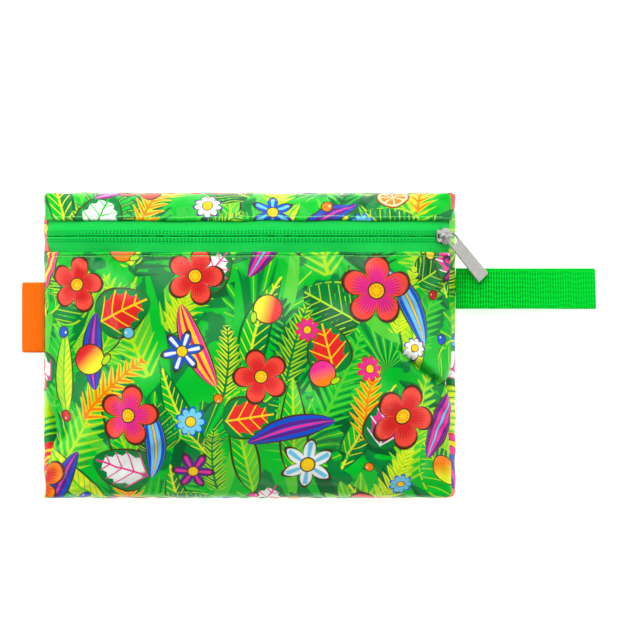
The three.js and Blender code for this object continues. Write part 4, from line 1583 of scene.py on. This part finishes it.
def makeStrap():
    # ribs cross the band, and each rib is broken into short floats
    place, normal, length = evenRoute(strapRoute, strap["columns"])
    across = np.linspace(-1, 1, strap["rows"])[:, None]
    w = across * strap["width"] / 2
    ribs = length[None] / strap["ribPitch"]
    rib = np.abs(np.sin(np.pi * ribs)) ** 0.8
    floats = 0.88 - 0.12 * np.cos(2 * np.pi * w / strap["dash"])
    body = (strap["thickness"] / 2 - strap["rib"]) * np.sqrt(1 - np.abs(across) ** 26)
    lift = body + strap["rib"] * rib * floats * (1 - np.abs(across) ** 30)
    y = strap["centreY"] + w * (1 - strap["scallop"] * (1 - rib) * np.abs(across) ** 12)
    aslant = strap["skew"] * across * (place[None, :, 0] - halfWidth) / (place[:, 0].max() - halfWidth)
    outer = bandAlong(place, normal, y, lift)
    inner = bandAlong(place, normal, y, -lift)
    outer[..., 0] -= aslant
    inner[..., 0] -= aslant
    cut = np.stack([length[None] + 0 * w, w + 0 * length[None]], -1)
    webbing = webbingMaterial()
    piece, _ = sheetPiece("strap_loop_webbing", outer, inner, cut, webbing, "strap_loop")


makeStrap()
print("carrying loop made, centreline", round(float(evenRoute(strapRoute, 600)[2][-1]), 1), "mm")


# Ribbon tag: a woven ribbon folded double in the left seam

tag = dict(
    width=43, reach=13.2, sewnIn=0.6, centreY=17, thickness=1.0, layerGap=0.5, rootHeight=9.4, droop=3.2,
    curl=0.5, steps=30, rows=44,
)


def makeTag():
    # upper run, round fold and lower run, drooping towards the fold and curling a little across its width
    apart = (tag["thickness"] + tag["layerGap"]) / 2
    rootX, tipX = -halfWidth + tag["sewnIn"], -halfWidth - tag["reach"]
    run = np.linspace(rootX, tipX + apart, tag["steps"])
    turn = np.linspace(90, 270, 15)[1:-1] * np.pi / 180
    x = np.concatenate([run, tipX + apart + apart * np.cos(turn), run[::-1]])
    lift = np.concatenate([0 * run + apart, apart * np.sin(turn), 0 * run - apart])
    drop = tag["droop"] * ((np.maximum(x, tipX + apart) - rootX) / (tipX - rootX)) ** 2
    route = np.stack([x, tag["rootHeight"] - drop + lift], -1)
    normal = routeNormals(route)
    across = np.linspace(-1, 1, tag["rows"])[:, None]
    y = tag["centreY"] + across * tag["width"] / 2
    free = ((x - rootX) / (tipX - rootX))[None]
    half = tag["thickness"] / 2 * np.sqrt(1 - np.abs(across) ** 30)
    curl = tag["curl"] * free * (across ** 2 - 0.4 + 0.25 * np.sin(3 * across + 1))
    outer = bandAlong(route, normal, y, -half)
    inner = bandAlong(route, normal, y, half)
    outer[..., 2] += curl
    inner[..., 2] += curl
    length = runLength(route)
    cut = np.stack([y + 0 * length[None], length[None] + 0 * y], -1)
    upper, lower, cut = (grid[:, ::-1] for grid in (inner, outer, cut))
    ribbon = wovenMaterial("ribbonOrange", tone(255, 118, 6), tone(226, 84, 0),
                           pitch=0.3, roughness=0.5, depth=0.00004)
    piece, _ = sheetPiece("side_tag_ribbon", upper, lower, cut, ribbon, "side_tag")


makeTag()
print("tag made")


# Folded body inside the pouch

body = dict(layer=5.0, rows=34, steps=26)

# layers from the floor up: middle height, reach to each end, half width
bodyLayers = [
    (4.3, -72, 74, 104),
    (10.5, -80, 80, 108),
    (16.7, -79, 77, 106),
    (22.9, -74, 68, 100),
    (29.1, -64, 52, 88),
]


def makeBody():
    # one thick run folded to and fro, each layer joined to the next by a half turn
    route = []
    for k, (z, low, high, half) in enumerate(bodyLayers):
        ends = (high, low) if k % 2 else (low, high)
        y = np.linspace(*ends, body["steps"])
        route.append(np.stack([y, np.full(y.shape, z), np.full(y.shape, half)], -1))
        if k + 1 < len(bodyLayers):
            upZ, upLow, upHigh, upHalf = bodyLayers[k + 1]
            share = np.linspace(0, 1, 12)[1:-1]
            swing = (share - 0.5) * np.pi
            radius = (upZ - z) / 2
            turnY = ends[1] + ((upLow if k % 2 else upHigh) - ends[1]) * share
            turnY = turnY + np.sign(ends[1]) * radius * np.cos(swing)
            turnZ = (z + upZ) / 2 + radius * np.sin(swing)
            route.append(np.stack([turnY, turnZ, half + (upHalf - half) * share], -1))
    route = np.concatenate(route)
    normal = routeNormals(route[:, :2])
    across = np.linspace(-1, 1, body["rows"])[None, :]
    x = across * route[:, 2:3]
    lift = body["layer"] / 2 * np.sqrt(1 - np.abs(across) ** 10 * 0.98)
    lift = lift + 0.2 * np.sin(x / 9 + route[:, :1] / 14)

    def side(sign):
        y = route[:, :1] + normal[:, :1] * lift * sign
        z = route[:, 1:2] + normal[:, 1:2] * lift * sign
        return np.stack([x, y, z], -1)

    length = runLength(route[:, :2])[:, None]
    cut = np.stack([x, length % 200 - 100 + 0 * x], -1)
    over, under = side(1), side(-1)
    sheet = sheetPiece("packed_body_folds", over, under, cut, printFabric, "packed_body")
    piece = printOnto(*sheet)


makeBody()
print("folded body made")


# Floor, light and camera

studio = dict(
    floor=30, drop=0.2, glow=0.68, matt=0.9, middle=(43.5, 14.8), span=391.6, distance=2600, plane=10,
    airTop=0.3, airSoft=0.4, airNorth=0.55, airRound=0.75, airCeiling=0.12,
)

# soft panels: name, place and breadth in metres, power in watts
panels = [
    ("topPanel", (-0.2, 1.4, 1.75), 2.2, 52),
    ("leftPanel", (-1.7, 0.2, 1.0), 1.4, 9),
    ("rightPanel", (1.7, 0.2, 1.0), 1.4, 8),
    ("lowPanel", (0.3, -1.7, 1.0), 1.4, 4),
    ("leftStrip", (-1.2, -0.5, 0.3), 0.25, 1.2),
    ("rightStrip", (1.1, -0.7, 0.3), 0.25, 1.0),
]


def makeStage():
    half = studio["floor"] / 2
    mesh = bpy.data.meshes.new("floor")
    corners = [(x * half, y * half, 0) for x, y in ((-1, -1), (1, -1), (1, 1), (-1, 1))]
    mesh.from_pydata(corners, [], [(0, 1, 2, 3)])
    material, tree, shader = newMaterial("paleFloor", **{
        "Specular IOR Level": 0.0, "Emission Color": (1, 1, 1, 1), "Emission Strength": studio["glow"],
    })
    place = readNode(tree, "ShaderNodeTexCoord", "Object")
    dress(shader, paint((0.95, 0.95, 0.95, 1), noise(place, 3.0), (0.97, 0.97, 0.97, 1)), studio["matt"])
    mesh.materials.append(material)
    floor = newObject("floor", mesh)
    floor.location.z = -studio["drop"] * mm


def makeLight(name, place, size, power):
    # a soft panel that faces the middle of the object
    light = bpy.data.lights.new(name, "AREA")
    light.shape = "DISK"
    light.size = size
    light.energy = power
    lamp = newObject(name, light)
    lamp.location = place
    middle = np.array([studio["middle"][0] * mm, studio["middle"][1] * mm, 0])
    lamp.rotation_euler = Vector(middle - np.array(place)).to_track_quat("-Z", "Y").to_euler()


def makeCamera():
    data = bpy.data.cameras.new("camera")
    data.lens = data.sensor_width * (studio["distance"] - studio["plane"]) / studio["span"]
    data.clip_start = 0.05
    camera = newObject("camera", data)
    camera.location = (studio["middle"][0] * mm, studio["middle"][1] * mm, studio["distance"] * mm)
    bpy.context.scene.camera = camera


def makeAir():
    # light from all round the horizon, stronger behind the object's top edge, fading to a dim ceiling
    world = bpy.data.worlds.new("studioAir")
    world.use_nodes = True
    tree = world.node_tree
    _, north, height = splitVector(readNode(tree, "ShaderNodeTexCoord", "Generated"))
    air = north * studio["airNorth"] + studio["airRound"]
    strength = height.below(studio["airTop"], studio["airSoft"]) * air + studio["airCeiling"]
    feed(tree.nodes["Background"].inputs["Strength"], strength)
    feed(tree.nodes["Background"].inputs["Color"], (1, 1, 1, 1))
    bpy.context.scene.world = world


makeStage()
for row in panels:
    makeLight(*row)
makeAir()
bpy.context.scene.view_settings.view_transform = "Standard"
makeCamera()
print("stage made")
